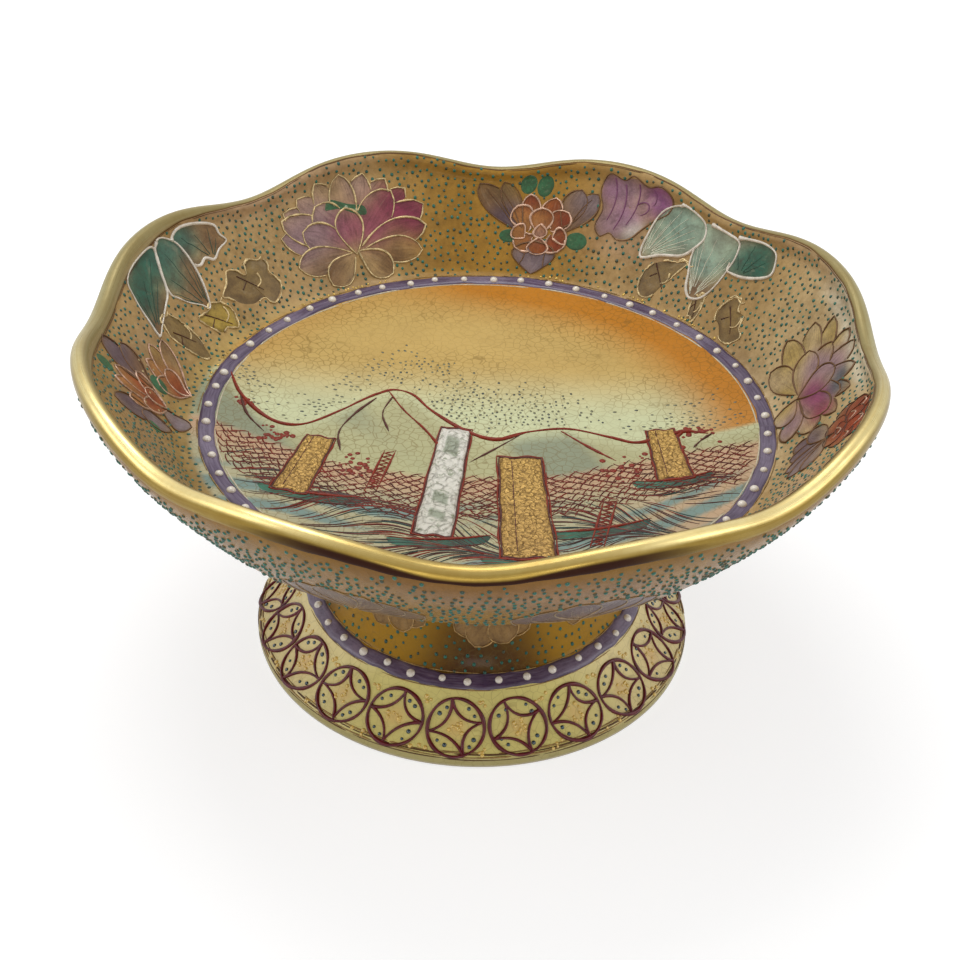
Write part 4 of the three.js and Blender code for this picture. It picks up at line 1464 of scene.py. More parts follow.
def gold_leaf(work, shape, grow, colour, seed):
    """A matt bronze leaf: grainy, half outlined in gold, with a vein and curls of gold on it."""
    luck = np.random.default_rng(seed)
    points = np.array(leaf_shapes[shape]) * [grow, 1]
    grid = patch_of(points, leaf_steps)
    middle = points.mean(0)
    wash(work, grid, [(*middle, 9, colour), (*(middle + [1.5, 3]), 3, bronze_light)], True, 0.3)
    rim = rim_of(grid, True)
    start = luck.integers(0, leaf_steps)
    for first, count in ((start, 25), (start + leaf_steps // 2, 22)):
        part = rim[np.arange(first, first + count) % leaf_steps] + luck.normal(0, 0.1, (count, 2))
        ruled(work, "gold", part, 0.27 * (1 + 0.4 * np.sin(np.arange(count) * 0.9)), outline_gold)
    top = rim[rim[:, 1].argmax()]
    threads_of(work, "gold", 0.28, outline_gold, [
        [top + [-2.4 * grow, -1], top + [-1 * grow, 2], top + [0.6 * grow, -2.6], top + [2.2 * grow, -0.4]],
        [middle + [2.6 * grow, 2], middle + [3.6 * grow, -1], middle + [1.2 * grow, -1.6]]])
    threads_of(work, "brown", 0.17, outline_brown, [
        [middle + [-2.6 * grow, 3], middle, middle + [2.4 * grow, -3]],
        [middle + [-2.8 * grow, -1], middle + [-1 * grow, 0.6]]])


left_lobes = [
    [
        (-19.2, 17.5), (-18.5, 22), (-17, 28), (-14.5, 32.5), (-7, 33), (-1.6, 32), (-4, 26), (-6.4, 22),
        (-9.9, 20.3), (-15.6, 18.3)],
    [
        (5.6, 24.6), (8.5, 22.8), (11.4, 23.8), (14, 22.6), (17, 24.6), (20.4, 26.4), (19.2, 28.6),
        (18.6, 31.5), (13, 33), (7, 33), (4, 29.6)],
    [
        (0, 33), (-4.3, 26), (-5.7, 21.5), (-4.3, 19.5), (-2.1, 17), (1.4, 14.5), (3.6, 12.7), (5.8, 17),
        (6.8, 22), (6.7, 27), (5, 31)]]
right_lobes = [
    [
        (5, 32), (6.7, 27), (7.1, 22.8), (9.2, 22.2), (12.8, 22.3), (17, 23.5), (19.9, 25.5),
        (19.2, 28.5), (17, 31.5), (12, 33)],
    [
        (-4.5, 32.5), (-5, 26), (-4.3, 21), (-2.8, 17), (-1.4, 13), (1.1, 10.7), (4.3, 12), (6.2, 16),
        (7.1, 22), (7.1, 28), (5, 32)],
    [
        (-12.5, 33), (-17, 29), (-18.6, 22), (-18.4, 15.5), (-12.8, 18), (-7.1, 20.5), (-4.7, 24.5),
        (-3.7, 28), (-5, 31.5), (-8, 33)]]
left_clouds = [
    (-13, 28, 5, viridian), (-14, 24, 3.5, viridian), (-6, 31, 5, viridian), (0, 29, 5, teal_deep),
    (-1, 23, 3, moss_grey), (8, 30, 4, teal_deep), (-17, 19.5, 3.5, umber), (-11, 21, 2.5, umber),
    (4, 17, 4.5, umber), (5, 24, 3, umber), (16, 28, 4, umber)]
right_clouds = [
    (14, 29, 5, viridian), (10, 26, 4, viridian), (16, 25, 3, viridian), (1, 27, 6, celadon),
    (0, 21, 4, celadon_deep), (-11, 27, 6, celadon_deep), (-15, 21, 4, celadon), (2, 14, 3, umber),
    (-8, 31, 4, celadon)]
wall = bundle(inner_reach, wall_ground)
bronze_leaves = (
    (165, "long", 1.0, bronze), (154, "small", 1.45, yellow_leaf), (143, "lobed", 1.25, bronze),
    (53, "flame", 1.0, bronze), (42, "small", 0.5, bronze), (33, "stepped", 1.1, bronze),
    (294, "long", 1.2, bronze), (222, "lobed", 0.8, bronze), (258, "small", 1.0, yellow_leaf))
broad_leaves = (
    (157, left_lobes, left_clouds, ()), (45, right_lobes, right_clouds, (1, 2)),
    (274, left_lobes, left_clouds, ()))
blooms = (
    (aster, 187), (lotus, 117.5), (peony, 79.5), (lilac_head, 62), (chrysanthemum, 2.5), (rust_bloom, -18),
    (lotus, 311), (peony, 238))
for place, shape, grow, colour in bronze_leaves:
    gold_leaf(at(wall, place, 0), shape, grow, colour, place)
for place, lobes, clouds, pale in broad_leaves:
    teal_leaves(at(wall, place, broad_leaf_level), lobes, clouds, pale, place)
for number, (draw, place) in enumerate(blooms):
    draw(at(wall, place, flower_level), 21 + number)


def half_bloom(work, tips, width, tint, colour, radius, seed):
    """Petals that open upwards or hang from one root, tinted towards their tips, the middle one last."""
    petals = [((tip[0] * 0.12, 0), tip, width) for tip in sorted(tips, key=lambda tip: -abs(tip[0]))]
    clouds = [(0.72 * x, 0.72 * y, 0.5 * width, tint) for x, y in tips]
    flower(work, petals, clouds, "gold", radius, colour, seed)


outer_work = bundle(-outer_reach, outer_ground)
outer_tips = [(-17, 5.5), (-11.5, 10), (17, 6), (11.5, 10.5), (-4.2, 13.2), (4.6, 12.8)]
for number, place in enumerate((-73, -108, -36, -145, 8, 46, 92, 131, 172)):
    tint = bloom_mauve if number % 2 else bloom_grey
    half_bloom(at(outer_work, place, 0), outer_tips, 10, tint, ink("9c8058"), 0.15, 30 + number)
stem_work = bundle(-stem_reach, stem_ground, stem_run + stem_hang)
stem_tips = [(-9.5, -6), (9.5, -6.2), (-4.6, -10), (4.2, -9.4)]
for number in range(9):
    bloom = at(stem_work, -82 + number * 40, 0)
    half_bloom(bloom, stem_tips, 8, stem_petal, ink("c29c60"), 0.18, 50 + number)


def grid_faces(rows, columns):
    """The four corners of each face of a grid of points."""
    index = np.arange(rows * columns).reshape(rows, columns)
    return np.stack([index[:-1, :-1], index[:-1, 1:], index[1:, 1:], index[1:, :-1]], -1).reshape(-1, 4)


def washed(name, line, work, finish):
    """All washes of a face as one thin skin, each sealed at its edge and a hair above the one before."""
    points, faces, paint, lay = [], [], [], []
    base = 0
    for angle, run, colours, patch, level in work["washes"]:
        rows, columns = angle.shape
        lift = np.full(angle.shape, 0.05 + wash_step * level)
        lift[-1] = -0.03
        if not patch:
            lift[0] = lift[:, 0] = lift[:, -1] = -0.03
        points.append(on(line, angle, run, lift).reshape(-1, 3))
        quads = grid_faces(rows, columns)
        corner = points[-1][quads]
        normal = np.cross(corner[:, 2] - corner[:, 0], corner[:, 3] - corner[:, 1]).sum(0)
        out = facing(line, angle.mean(), run.mean())
        faces += (base + (quads if normal @ out > 0 else quads[:, ::-1])).tolist()
        paint.append(colours.reshape(-1, 3))
        across = np.linspace(0, 1, rows)[:, None] + 0 * angle
        along = np.linspace(0, 1, columns)[None, :] + 0 * angle
        lay.append(np.stack([across * 12, along * 8, 0 * angle + level * 3.7], -1).reshape(-1, 3))
        base += rows * columns
    made = piece(name, np.vstack(points), faces, np.vstack(paint), np.vstack(lay))
    made.data.materials.append(finish)
    return made


wash_enamel, tree, shader = material("wash_enamel")
streaks = use(tree, brushed, {"Along": 0.25, "Across": 1.5})["Streaks"]
cloudy = dabbed(tree, painted(tree)["Color"], solid("3b2a22"), 0.004, 0.45)["Mottled"]
streaked = blended(tree, ranged(tree, streaks, 0.5, 0.8, 0.0, 0.55), cloudy, solid("4a342c"))
fill(tree, shader, {
    "Base Color": blended(tree, ranged(tree, streaks, 0.25, 0.42, 0.18, 0.0), streaked, solid("c7b79a")),
    "Roughness": ranged(tree, streaks, 0.3, 0.7, 0.22, 0.42),
    "Specular IOR Level": 0.13, "Coat Weight": 0.05, "Coat Roughness": 0.12,
    "Normal": bumped(tree, streaks, 0.14, 0.0001)})
wall_washes = washed("wall_washes", inside, wall, wash_enamel)
wall_gold = trailed("wall_gold_lines", inside, wall["gold"], line_gold, 6)
wall_white = trailed("wall_white_lines", inside, wall["white"], white_slip, 7)
wall_brown = trailed("wall_brown_lines", inside, wall["brown"], ink_enamel, 5)
outer_washes = washed("outer_washes", outside, outer_work, wash_enamel)
outer_gold = trailed("outer_gold_lines", outside, outer_work["gold"], line_gold, 5)
stem_washes = washed("stem_washes", foot_face, stem_work, wash_enamel)
stem_gold = trailed("stem_gold_lines", foot_face, stem_work["gold"], line_gold, 5)
for made, finish in (
        (wall_washes, "bowl_glaze"), (wall_gold, "gilding"), (wall_white, "slip"), (wall_brown, "slip"),
        (outer_washes, "bowl_glaze"), (outer_gold, "gilding"), (stem_washes, "foot_glaze"),
        (stem_gold, "gilding")):
    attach(made, "root")

# Teal drops of the wall and of the outside.
# Thousands of drops of teal enamel, let fall one by one over the ground and kept off the flowers.
# The tree scatters them at a least distance, thins them where the stored openness is low, and varies them.
scatter, start = geometry_tree("scattered_drops", {
    "Ground": "Geometry", "Spacing": "Float", "Density": "Float", "Smallest": "Float", "Largest": "Float",
    "Length": "Float", "Height": "Float", "Segments": "Int", "Seed": "Int", "Finish": "Material"})
strewn = node(scatter, "GeometryNodeDistributePointsOnFaces", {
    "Mesh": start["Ground"], "Distance Min": start["Spacing"], "Density Max": start["Density"],
    "Density Factor": named(scatter, "open", "FLOAT"), "Seed": start["Seed"]}, distribute_method="POISSON")
grain = node(
    scatter, "GeometryNodeMeshUVSphere", {"Segments": start["Segments"], "Rings": 4, "Radius": 1.0})
height = node(
    scatter, "ShaderNodeSeparateXYZ", {0: scatter.nodes.new("GeometryNodeInputPosition").outputs[0]})
sunk = node(scatter, "FunctionNodeCompare", {0: height.outputs["Z"], 1: -0.3}, operation="LESS_THAN")
cap = node(scatter, "GeometryNodeDeleteGeometry", {
    "Geometry": grain.outputs["Mesh"], "Selection": sunk.outputs[0]}, domain="FACE")
squash = node(scatter, "ShaderNodeCombineXYZ", {"X": 1.0, "Y": start["Length"], "Z": start["Height"]})
flat = node(scatter, "GeometryNodeTransform", {"Geometry": cap.outputs[0], "Scale": squash.outputs[0]})
grown_size = node(scatter, "FunctionNodeRandomValue", {
    2: start["Smallest"], 3: start["Largest"], "Seed": start["Seed"]}, data_type="FLOAT")
let_fall = node(scatter, "GeometryNodeInstanceOnPoints", {
    "Points": strewn.outputs["Points"], "Instance": flat.outputs[0], "Rotation": strewn.outputs["Rotation"],
    "Scale": grown_size.outputs[1]})
shaped(scatter, start, let_fall.outputs[0], "Drops")


def strewed(name, line, angles, runs, openness, spacing, sizes, height, finish, seed, segments=7,
            length=1.15):
    """Drops scattered over a stretch of a face, where openness says how free the ground is."""
    angle, run = np.meshgrid(angles, runs)
    quads = grid_faces(*angle.shape)
    if line["side"] > 0:
        quads = quads[:, ::-1]
    host = piece(name + "_ground", on(line, angle, run, 0.02 + 0 * run), quads.tolist())
    stored(host.data, "open", openness(angle, run).ravel())
    return grown(name, host, scatter, {
        "Spacing": spacing * MM, "Density": 1.6 / (spacing * MM) ** 2, "Smallest": sizes[0] * MM,
        "Largest": sizes[1] * MM, "Length": length, "Height": height, "Segments": segments, "Seed": seed,
        "Finish": finish})


teal_drop, tree, shader = material("teal_drops")
fleck = noise(tree, object_place(tree), 320.0, 1.0)["Fac"]
teal_mix = blended(tree, ranged(tree, fleck, 0.35, 0.65), solid("17443e"), solid("2d6f5b"))
fill(tree, shader, {
    "Base Color": blended(tree, ranged(tree, fleck, 0.44, 0.36, 0.0, 0.8), teal_mix, solid("4b4a2c")),
    "Roughness": 0.3, "Specular IOR Level": 0.3, "Coat Weight": 0.15})
drop_clearance = 1.04


def clear_of(work, angle, run):
    """1 on the free ground of a face, and 0 under its painted motifs."""
    free = np.ones(np.shape(angle))
    for outline in work["closed"]:
        middle = outline.mean(0)
        grown_out = middle + drop_clearance * (outline - middle)
        for shift in (-2 * math.pi, 0, 2 * math.pi):
            free = np.where(within(angle + shift, run, grown_out), 0, free)
    return free


def wall_open(angle, run):
    """Free ground of the inner wall: clear of the band, the flowers and the gilding."""
    off_band = ease(run - band_middle(angle), band_half + 0.5, band_half + 1.2)
    off_gilding = ease(gilt_run(angle) - run, 0.15, 0.45)
    return off_band * off_gilding * clear_of(wall, angle, run)


def outer_open(angle, run):
    """Free ground of the outer wall, with fewer drops towards the lip."""
    free = ease(run, -2, 1) * (0.85 * ease(run, 29.4, 28.4) + 0.15 * ease(run, 25, 19))
    return free * clear_of(outer_work, angle, run)


def stem_open(angle, run):
    """Free ground of the stem."""
    return clear_of(stem_work, angle, run)


scatter_turns = 900
full_turn = np.linspace(0, 2 * math.pi, scatter_turns)
wall_span = np.linspace(1, inner_end - 0.5, 64)
outer_span = np.linspace(-2, 29.5, 43)
stem_span = np.linspace(stem_run, foot_face["run"][-1] - 1, 40)
inner_drops = strewed(
    "inner_drops", inside, full_turn, wall_span, wall_open, spacing=1.5, sizes=(0.3, 0.5), height=0.6,
    finish=teal_drop, seed=5)
outer_drops = strewed(
    "outer_drops", outside, full_turn, outer_span, outer_open, spacing=1.6, sizes=(0.36, 0.56),
    height=0.7, finish=teal_drop, seed=6)
stem_drops = strewed(
    "stem_drops", foot_face, full_turn, stem_span, stem_open, spacing=1.9, sizes=(0.32, 0.5),
    height=0.7, finish=teal_drop, seed=7)
for made, finish in ((inner_drops, "bowl_glaze"), (outer_drops, "bowl_glaze"), (stem_drops, "foot_glaze")):
    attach(made, "root")

# Picture in the well.
# Plain hills over a bay of hatched waves, drawn in rust and brown lines on the washed ground.
# The sails of the junks are thick pads of gold, and one of white, on a floor that dips towards its middle.
tint_brick = ink("8f2d16")
tint_umber = ink("5c3028")
tint_wine = ink("57291f")
tint_slate = ink("463d38")
tint_sea = ink("36504a")
sky_speck = ink("343c2e")
stroke_lift = 0.04
water_lift = 0.02
weave_pitch = 2.1
weave_row = 1.1
strand_pitch = 7
strand_row = 0.95


def well_lay(x, y):
    """Plan points of the well, x mm to the right and y mm away, as angles and runs."""
    return np.arctan2(y, x), well_run(np.hypot(x, y))


def through(points, steps):
    """A smooth open line through a few points."""
    points = np.array(points, float)
    padded = np.vstack([2 * points[0] - points[1], points, 2 * points[-1] - points[-2]])
    place = np.linspace(0, len(points) - 1 - 1e-9, steps)
    first = place.astype(int)
    return smooth([padded[first + k] for k in range(4)], (place - first)[:, None])


def stroke(points, steps, radius, colour, seed):
    """One brush line of the picture, swelling and thinning as the brush did."""
    luck = np.random.default_rng(seed)
    path = through(points, steps)
    share = np.linspace(0, 1, steps)
    angle, run = well_lay(path[:, 0], path[:, 1])
    swell = 0.35 * np.sin(luck.uniform(5, 9) * share + luck.uniform(0, 6))
    thick = radius * (1 + swell + 0.15 * np.sin(31 * share))
    thick = thick * (0.35 + 0.65 * np.clip(np.minimum(share, 1 - share) * 8, 0, 1))
    return (angle, run, thick, stroke_lift, colour, False)


def band_clear(x, y):
    """How far in mm a point of the well lies inside the band."""
    angle, run = well_lay(x, y)
    return band_middle(angle) - band_half - run


ridge_lines = [stroke(hill_points[k : k + 8], 60, 0.42, tint_brick, 60 + k) for k in (0, 5, 11)]
ridge_lines += [
    stroke([(-23, 13), (-19, 5), (-13, -4), (-8, -13), (-3, -19)], 40, 0.34, tint_brick, 71),
    stroke([(-26, 10), (-31, 2), (-34, -6), (-33, -14)], 30, 0.28, tint_umber, 72),
    stroke([(-22, 11), (-24, 3), (-22, -5)], 20, 0.24, tint_umber, 73),
    stroke([(20, -2), (27, -9), (33, -14)], 24, 0.3, tint_brick, 74),
    stroke([(50, -1), (47, -5), (44, -10)], 24, 0.4, tint_brick, 75),
    stroke([(57, -2), (54, -5), (52, -8)], 20, 0.28, tint_umber, 76),
    stroke([(10, -4.5), (3, -12), (-2, -17)], 24, 0.22, tint_umber, 77),
    stroke([(-60, 8), (-57, -1), (-52, -8)], 24, 0.3, tint_umber, 78),
]
chance = np.random.default_rng(80)
blots = []
for x, y, wide, count in (
        (-49, -9, 7, 26), (44, -11, 7, 24), (-29, -21, 9, 30), (36, -18, 8, 22), (53, -1, 6, 18),
        (-58, 4, 4, 12)):
    for _ in range(count):
        blots.append((
            x + chance.normal(0, wide / 2.4), y + chance.normal(0, wide / 3.6), chance.uniform(0.3, 0.85)))
blots = np.array(blots)
blots = blots[band_clear(blots[:, 0], blots[:, 1]) > 0.8]
blot_angle, blot_run = well_lay(blots[:, 0], blots[:, 1])
shore_blots = sprinkled(
    "shore_blots", inside, blot_angle, blot_run, blots[:, 2], 0.0, tint_brick, ink_enamel,
    segments=8, rings=5, height=0.25)


def hatched(px, py, radius, colour):
    """One line of the water, or nothing where it would touch the band."""
    if band_clear(px, py).min() < 0.2:
        return []
    angle, run = well_lay(px, py)
    return [(angle, run, radius, water_lift, colour, False)]


def wave_strokes():
    """The water: far off a weave of short arcs that lean left and right in turn, nearer long strands."""
    luck = np.random.default_rng(81)
    strokes = []
    tints = [tint_umber, tint_brick, tint_slate, tint_sea]
    share = np.linspace(-1, 1, 8)
    for row in range(15):
        for column in range(-32, 33):
            lean = 1 if (row + column) % 2 else -1
            x = column * weave_pitch + luck.normal(0, 0.35)
            y = shore(x) - 0.6 - row * weave_row + luck.normal(0, 0.14)
            slope = (shore(x + 3) - shore(x - 3)) / 6
            tilt = math.atan(slope) + lean * 0.62 + luck.normal(0, 0.09)
            ahead = share * luck.uniform(1.5, 2.5)
            aside = lean * luck.uniform(0.2, 0.6) * (1 - share**2)
            px = x + ahead * math.cos(tilt) - aside * math.sin(tilt)
            py = y + ahead * math.sin(tilt) + aside * math.cos(tilt)
            colour = mixed(tint_brick, tint_wine, luck.uniform(0, 1))
            strokes += hatched(px, py, luck.uniform(0.13, 0.21) * (1 - 0.6 * share**2), colour)
    for row in range(50):
        for column in range(-10, 11):
            x = column * strand_pitch + luck.uniform(-3.5, 3.5)
            y = shore(x) - 12 - row * strand_row + luck.normal(0, 0.25)
            path = [(x, y)]
            for _ in range(int(luck.integers(7, 15))):
                x, y = path[-1]
                heading = 0.55 * math.sin(x / 8 + y / 6) + 0.35 * math.sin(x / 19 - y / 4) - 0.12
                path.append((x + math.cos(heading), y + math.sin(heading)))
            px, py = np.array(path).T
            colour = tints[luck.choice(4, p=[0.4, 0.2, 0.25, 0.15])]
            along = np.linspace(-1, 1, len(path))
            strokes += hatched(px, py, luck.uniform(0.12, 0.2) * (1 - 0.6 * along**2), colour)
    return strokes


rigging = [
    (14.5, -36, 14.5, -20, 3.4), (-24.5, -30, -21, -13, 2.6), (49, -20, 47, -3, 2.4),
    (27, -50, 31, -30, 3.0)]
for number, (low_x, low_y, high_x, high_y, gauge) in enumerate(rigging):
    for side in (-0.5 * gauge, 0.5 * gauge):
        middle = ((low_x + high_x) / 2 + side, (low_y + high_y) / 2)
        mast = [(low_x + side, low_y), middle, (high_x + side, high_y)]
        ridge_lines.append(stroke(mast, 20, 0.26, tint_brick, 130 + number))
    rungs = 2 * round((high_y - low_y) / 1.7)
    share = np.linspace(0.04, 0.96, rungs)
    zigzag = np.where(np.arange(rungs) % 2, 0.42, -0.42) * gauge
    climb = np.stack([low_x + share * (high_x - low_x) + zigzag, low_y + share * (high_y - low_y)], 1)
    for first, second in zip(climb, climb[1:]):
        ridge_lines.append(stroke([first, second], 4, 0.17, tint_brick, 140 + number))

ridges = trailed("well_ridge_lines", inside, ridge_lines, ink_enamel, 6)
waves = trailed("well_wave_lines", inside, wave_strokes(), ink_enamel, 4)

scene_work = bundle(inner_reach, wall_ground)


def well_wash(points, low, high):
    """A wash of the picture, laid by its plan points in the well."""
    grid = patch_of(points, 40)
    angle, run = well_lay(grid[..., 0], grid[..., 1])
    share = ease(grid[..., 0], grid[..., 0].min(), grid[..., 0].max())
    scene_work["level"] += 1
    scene_work["washes"].append((angle, run, mixed(low, high, share), True, scene_work["level"]))


hull_green = ink("3f7a62")
hull_dark = ink("2c5548")
boats = (
    (-38, -33.5, 13, -0.12), (46, -22.5, 10, 0.2), (-8, -49, 12, 0.1), (13, -56, 12, 0.05),
    (28, -43, 12, 0.25))
for x, y, long, tilt in boats:
    spine = np.linspace(-1, 1, 7)
    upper = np.stack([x + spine * long, y + spine * long * tilt + 0.4 + 1.5 * spine**2], 1)
    keel = 0.9 * long * spine[::-1]
    lower = np.stack([x + keel, y + keel * tilt - 2.2 + 1.3 * spine**2], 1)
    well_wash(np.vstack([upper, lower]), hull_green, hull_dark)
    scene_work["brown"].append(stroke(upper + [0, 0.3], 26, 0.3, tint_brick, 90))
    scene_work["brown"].append(stroke(lower - [0, 0.3], 26, 0.2, tint_umber, 91))
hulls = washed("well_hulls", inside, scene_work, wash_enamel)
hull_lines = trailed("well_hull_lines", inside, scene_work["brown"], ink_enamel, 6)


def sky_open(angle, run):
    """Where the sky is speckled: a drifting belt above the hills, thinner towards its edges."""
    radius = np.interp(run, inside["run"], inside["radius"])
    x, y = radius * np.cos(angle), radius * np.sin(angle)
    above = y - hills(x)
    belt_top = 24 + 7 * np.sin(x / 13 + 2)
    free = ease(above, 1, 3) * ease(-above, -belt_top, -belt_top + 14)
    drifts = 0.45 + 0.55 * ease(np.sin(x / 7 + y / 9) + np.sin(y / 5 - x / 15), -0.8, 1.0)
    return free * drifts * ease(-run, 3, 6)


sky_dash, tree, shader = material("sky_specks")
fleck = noise(tree, object_place(tree), 300.0, 1.0)["Fac"]
fill(tree, shader, {
    "Base Color": blended(tree, ranged(tree, fleck, 0.35, 0.65), solid(sky_speck), solid("6a6a45")),
    "Roughness": 0.35})
sky_span = np.linspace(inside["run"][0] + 1, 0, 90)
specks = strewed(
    "sky_specks", inside, full_turn, sky_span, sky_open, spacing=1.18, sizes=(0.25, 0.37), height=0.3,
    finish=sky_dash, seed=8, segments=6, length=1.5)
for made in (ridges, shore_blots, waves, hulls, hull_lines, specks):
    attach(made, "root")

# Sails.
# Four low pads of slip in the well, gilded or left white, creased by the brush while the slip was wet.
# Each has a folded edge along one side and a brown line round it.
sail_rise = 0.72
sail_columns = 25
sail_rows = 61
fold_place = -0.72
fold_height = 0.22
groove_place = -0.52
groove_depth = 0.15
seam_column = 7
sails = {
    "tall": (0.16, -0.5, 3, 11, 40), "white": (-0.11, -0.36, -5, 8, 44),
    "left": (-0.59, -0.3, -12, 7.5, 24), "right": (0.66, -0.16, 6, 7.5, 21)}

# Thin leaf laid over lumpy slip: a net of sharp creases, and the lumps between them.
crinkle, given, result = group("crinkle", {"Size": "Float"}, {"Creases": "Float", "Lumps": "Float"})
where = object_place(crinkle)
pitch = worked(crinkle, 1.0, "DIVIDE", given["Size"])
drift = noise(crinkle, where, pitch, 3.0)
sharp = ranged(crinkle, cell_edges(crinkle, where, drift, 0.0011, pitch), 0.0, 0.16, 1.0, 0.0)
patchy = ranged(crinkle, drift["Fac"], 0.4, 0.6, 0.25, 1.0)
lumps = noise(crinkle, where, times(crinkle, pitch, 1.6), 4.0, Distortion=1.2)["Fac"]
fill(crinkle, result, {"Creases": times(crinkle, sharp, patchy), "Lumps": lumps})


def creased(name, size, dulling, dull, creasing, crease, strength, values):
    """The finish of a sail: its paint dulled in the low lumps, partly as an uneven tone of the leaf and
    partly as painted shade, and darkened in the creases as painted shade.
    """
    made, tree, shader = material(name)
    leaf = use(tree, crinkle, {"Size": size})
    dulled = blended(tree, ranged(tree, leaf["Lumps"], *dulling), painted(tree)["Color"], solid(dull))
    folds = worked(tree, leaf["Lumps"], "SUBTRACT", leaf["Creases"])
    fill(tree, shader, {
        "Base Color": blended(tree, times(tree, leaf["Creases"], creasing), dulled, solid(crease)),
        "Normal": bumped(tree, folds, strength, 0.0004), **values})
    return made


sail_gold = creased(
    "creased_gilding", size=0.0013, dulling=(0.35, 0.6, 0.55, 0.0), dull="8c6a36", creasing=0.7,
    crease="5e4222", strength=0.8, values={"Metallic": 0.5, "Roughness": 0.4})
sail_white = creased(
    "creased_white", size=0.0022, dulling=(0.3, 0.48, 0.85, 0.0), dull="76805f", creasing=0.5,
    crease="6c6a5c", strength=0.7, values={"Roughness": 0.4})
sail_edges = []
for number, (label, (x, y, turn, width, height)) in enumerate(sails.items()):
    luck = np.random.default_rng(500 + number)
    side, rise = np.meshgrid(np.linspace(-1, 1, sail_columns), np.linspace(-1, 1, sail_rows))
    ragged = 1 + 0.025 * np.sin(9 * rise + number) * np.abs(side)
    flare = 1 - 0.1 * rise
    lx = side * width / 2 * ragged * flare
    ly = rise * height / 2 + 0.25 * np.sin(5 * side + number) * np.abs(rise)
    spin = math.radians(turn)
    px = x * well_edge[0] + lx * math.cos(spin) - ly * math.sin(spin)
    py = y * well_edge[0] + lx * math.sin(spin) + ly * math.cos(spin)
    angle, run = well_lay(px, py)
    edge = np.maximum(np.abs(side) ** 12, np.abs(rise) ** 30)
    roll = fold_height * np.exp(-((side - fold_place) / 0.1) ** 2)
    roll = roll - groove_depth * np.exp(-((side - groove_place) / 0.05) ** 2)
    waviness = 0.05 * np.sin(ly * 1.7 + 3 * np.sin(lx)) + 0.04 * np.sin(lx * 3.1 + ly * 0.9)
    lift = (sail_rise + roll + waviness) * (1 - edge) - 0.05 * edge
    white = label == "white"
    low, high = (ink("d8d4c6"), ink("e6e2d6")) if white else (ink("c39c55"), ink("cda658"))
    paint = mixed(low, high, ease(rise, -1, 1))
    for middle, half in ((-0.66, 0.1), (-0.36, 0.12), (0.62, 0.2)) if white else ():
        panel = ease(half - np.abs(rise + 0.1 * side - middle), 0, 0.05) * ease(0.5 - np.abs(side), 0, 0.12)
        paint = mixed(paint, ink("7f8a70"), 0.8 * panel)
    made = piece(f"sail_{label}", on(inside, angle, run, lift), grid_faces(*angle.shape).tolist(), paint)
    made.data.materials.append(sail_white if white else sail_gold)
    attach(made, "root")
    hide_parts(f"sail_relief_{label}")
    index = np.arange(angle.size).reshape(angle.shape)
    rim = np.concatenate([index[0], index[1:, -1], index[-1, -2::-1], index[-2::-1, 0]])
    for grow, radius, colour in ((1.0, 0.24, tint_umber), (1.09, 0.2, tint_brick)):
        ax, ay = px.ravel()[rim], py.ravel()[rim]
        grow_y = 1 + (grow - 1) * width / height
        ax, ay = ax.mean() + grow * (ax - ax.mean()), ay.mean() + grow_y * (ay - ay.mean())
        clear = np.flatnonzero(band_clear(ax, ay) > 0.3)
        for part in np.split(clear, np.flatnonzero(np.diff(clear) > 1) + 1):
            if len(part) > 3:
                edge_angle, edge_run = well_lay(ax[part], ay[part])
                thick = radius * (1 + 0.3 * np.sin(np.arange(len(part)) * 0.5 + number))
                sail_edges.append((edge_angle, edge_run, thick, 0.1, colour, False))
    if not white:
        seam = index[3:-3, seam_column]
        angle, run = well_lay(px.ravel()[seam], py.ravel()[seam])
        sail_edges.append((angle, run, 0.13, sail_rise - 0.05, tint_umber, False))
sail_lines = trailed("sail_edges", inside, sail_edges, ink_enamel, 6)
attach(sail_lines, "root")

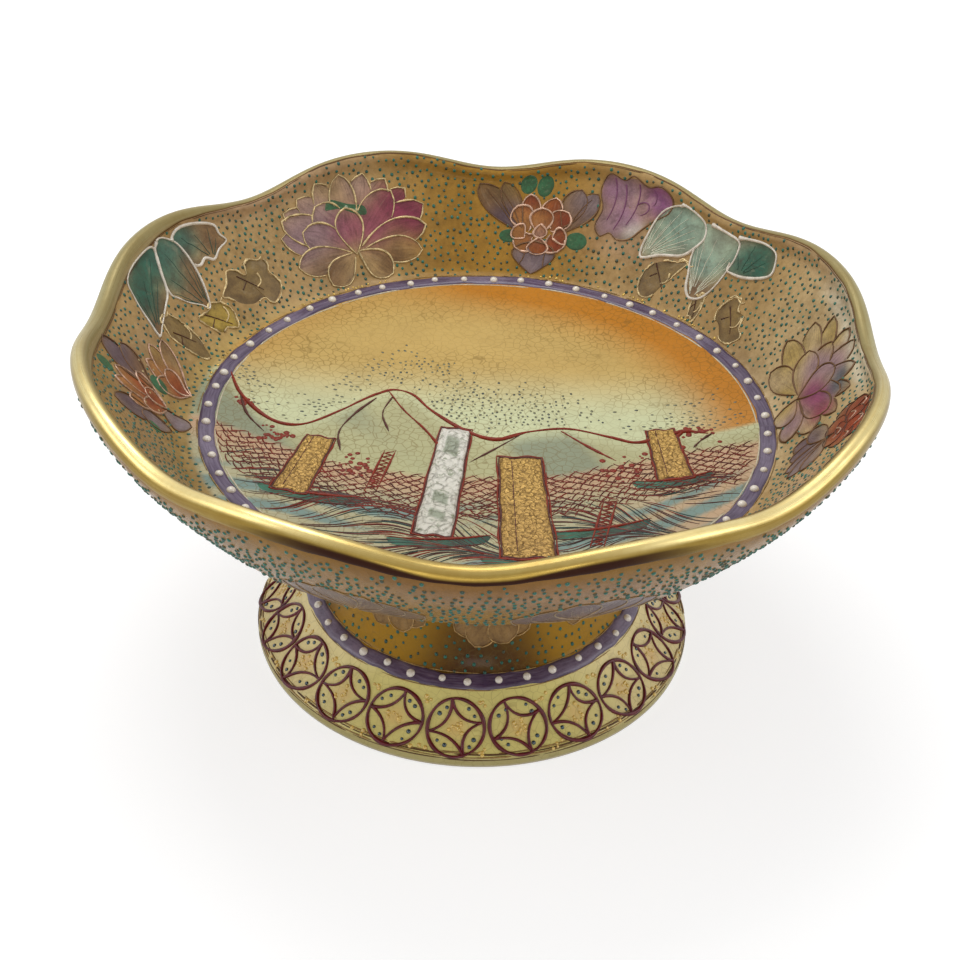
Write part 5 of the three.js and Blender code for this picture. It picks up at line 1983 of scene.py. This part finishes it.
# Camera, floor and light.
# The camera stands where the photograph was taken; the floor and the light are plain and pale.
camera_distance = 416.25
camera_elevation = math.radians(35.08557)
camera_roll = math.radians(2.19485)
camera_target = np.array([0.668, 0, 44.586])
camera_lens = 62.011
back = np.array([0, -math.cos(camera_elevation), math.sin(camera_elevation)])
right = np.array([1.0, 0, 0])
up = np.cross(back, right)
rolled_right = math.cos(camera_roll) * right + math.sin(camera_roll) * up
rolled_up = -math.sin(camera_roll) * right + math.cos(camera_roll) * up
camera = placed("camera", bpy.data.cameras.new("camera"))
camera.data.lens = camera_lens
camera.data.sensor_width = 36
camera.data.clip_start = 0.01
place = (camera_target + camera_distance * back) * MM
camera.matrix_world = Matrix([
    (rolled_right[0], rolled_up[0], back[0], place[0]),
    (rolled_right[1], rolled_up[1], back[1], place[1]),
    (rolled_right[2], rolled_up[2], back[2], place[2]),
    (0, 0, 0, 1)])
bpy.context.scene.camera = camera
bpy.context.scene.view_settings.view_transform = "Standard"


def lamp(name, where, aim, size, power):
    """A square area light that faces a point."""
    made = placed(name, bpy.data.lights.new(name, "AREA"))
    made.data.size = size
    made.data.energy = power
    made.location = where
    made.rotation_euler = (Vector(where) - Vector(aim)).to_track_quat("Z", "Y").to_euler()
    return made


lamp("key", (-0.12, 0.3, 0.85), (0, 0, 0.05), size=0.5, power=3.2)
lamp("right", (0.74, -0.1, 0.5), (0, 0, 0.05), size=0.5, power=1.5)
lamp("left", (-0.74, -0.1, 0.54), (0, 0, 0.05), size=0.5, power=1.6)
lamp("front", (0.08, -0.9, 0.15), (0, 0, 0.02), size=0.3, power=0.9)

world = bpy.data.worlds.new("studio")
bpy.context.scene.world = world
world.use_nodes = True
tree = world.node_tree
sky = tree.nodes["Background"]


def seen_directly(tree):
    """1 where the camera, gloss or glass looks at the background, and 0 where it only gives light."""
    path = node(tree, "ShaderNodeLightPath").outputs
    seen = worked(tree, path["Is Camera Ray"], "MAXIMUM", path["Is Glossy Ray"])
    return worked(tree, seen, "MAXIMUM", path["Is Transmission Ray"])


fill(tree, sky, {"Color": (1, 1, 1, 1), "Strength": ranged(tree, seen_directly(tree), 0, 1, 0.42, 1.0)})

floor_size = 3.0
floor_glow = 0.65
floor_points = np.array([(-1, -1, 0), (1, -1, 0), (1, 1, 0), (-1, 1, 0)]) * floor_size / MM / 2
floor = piece("floor", floor_points - [0, 0, 0.05], [(0, 1, 2, 3)])
paper, tree, shader = material("pale_floor")
seen = seen_directly(tree)
fill(tree, shader, {
    "Base Color": blended(tree, seen, (0.8, 0.8, 0.8, 1), (0.5, 0.5, 0.5, 1)), "Roughness": 0.9,
    "Emission Color": (1, 1, 1, 1), "Emission Strength": times(tree, seen, floor_glow)})
floor.data.materials.append(paper)
floor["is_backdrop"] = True

bpy.context.view_layer.update()
size = {"cad": cad_box, "visual": [list(corner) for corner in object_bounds()]}
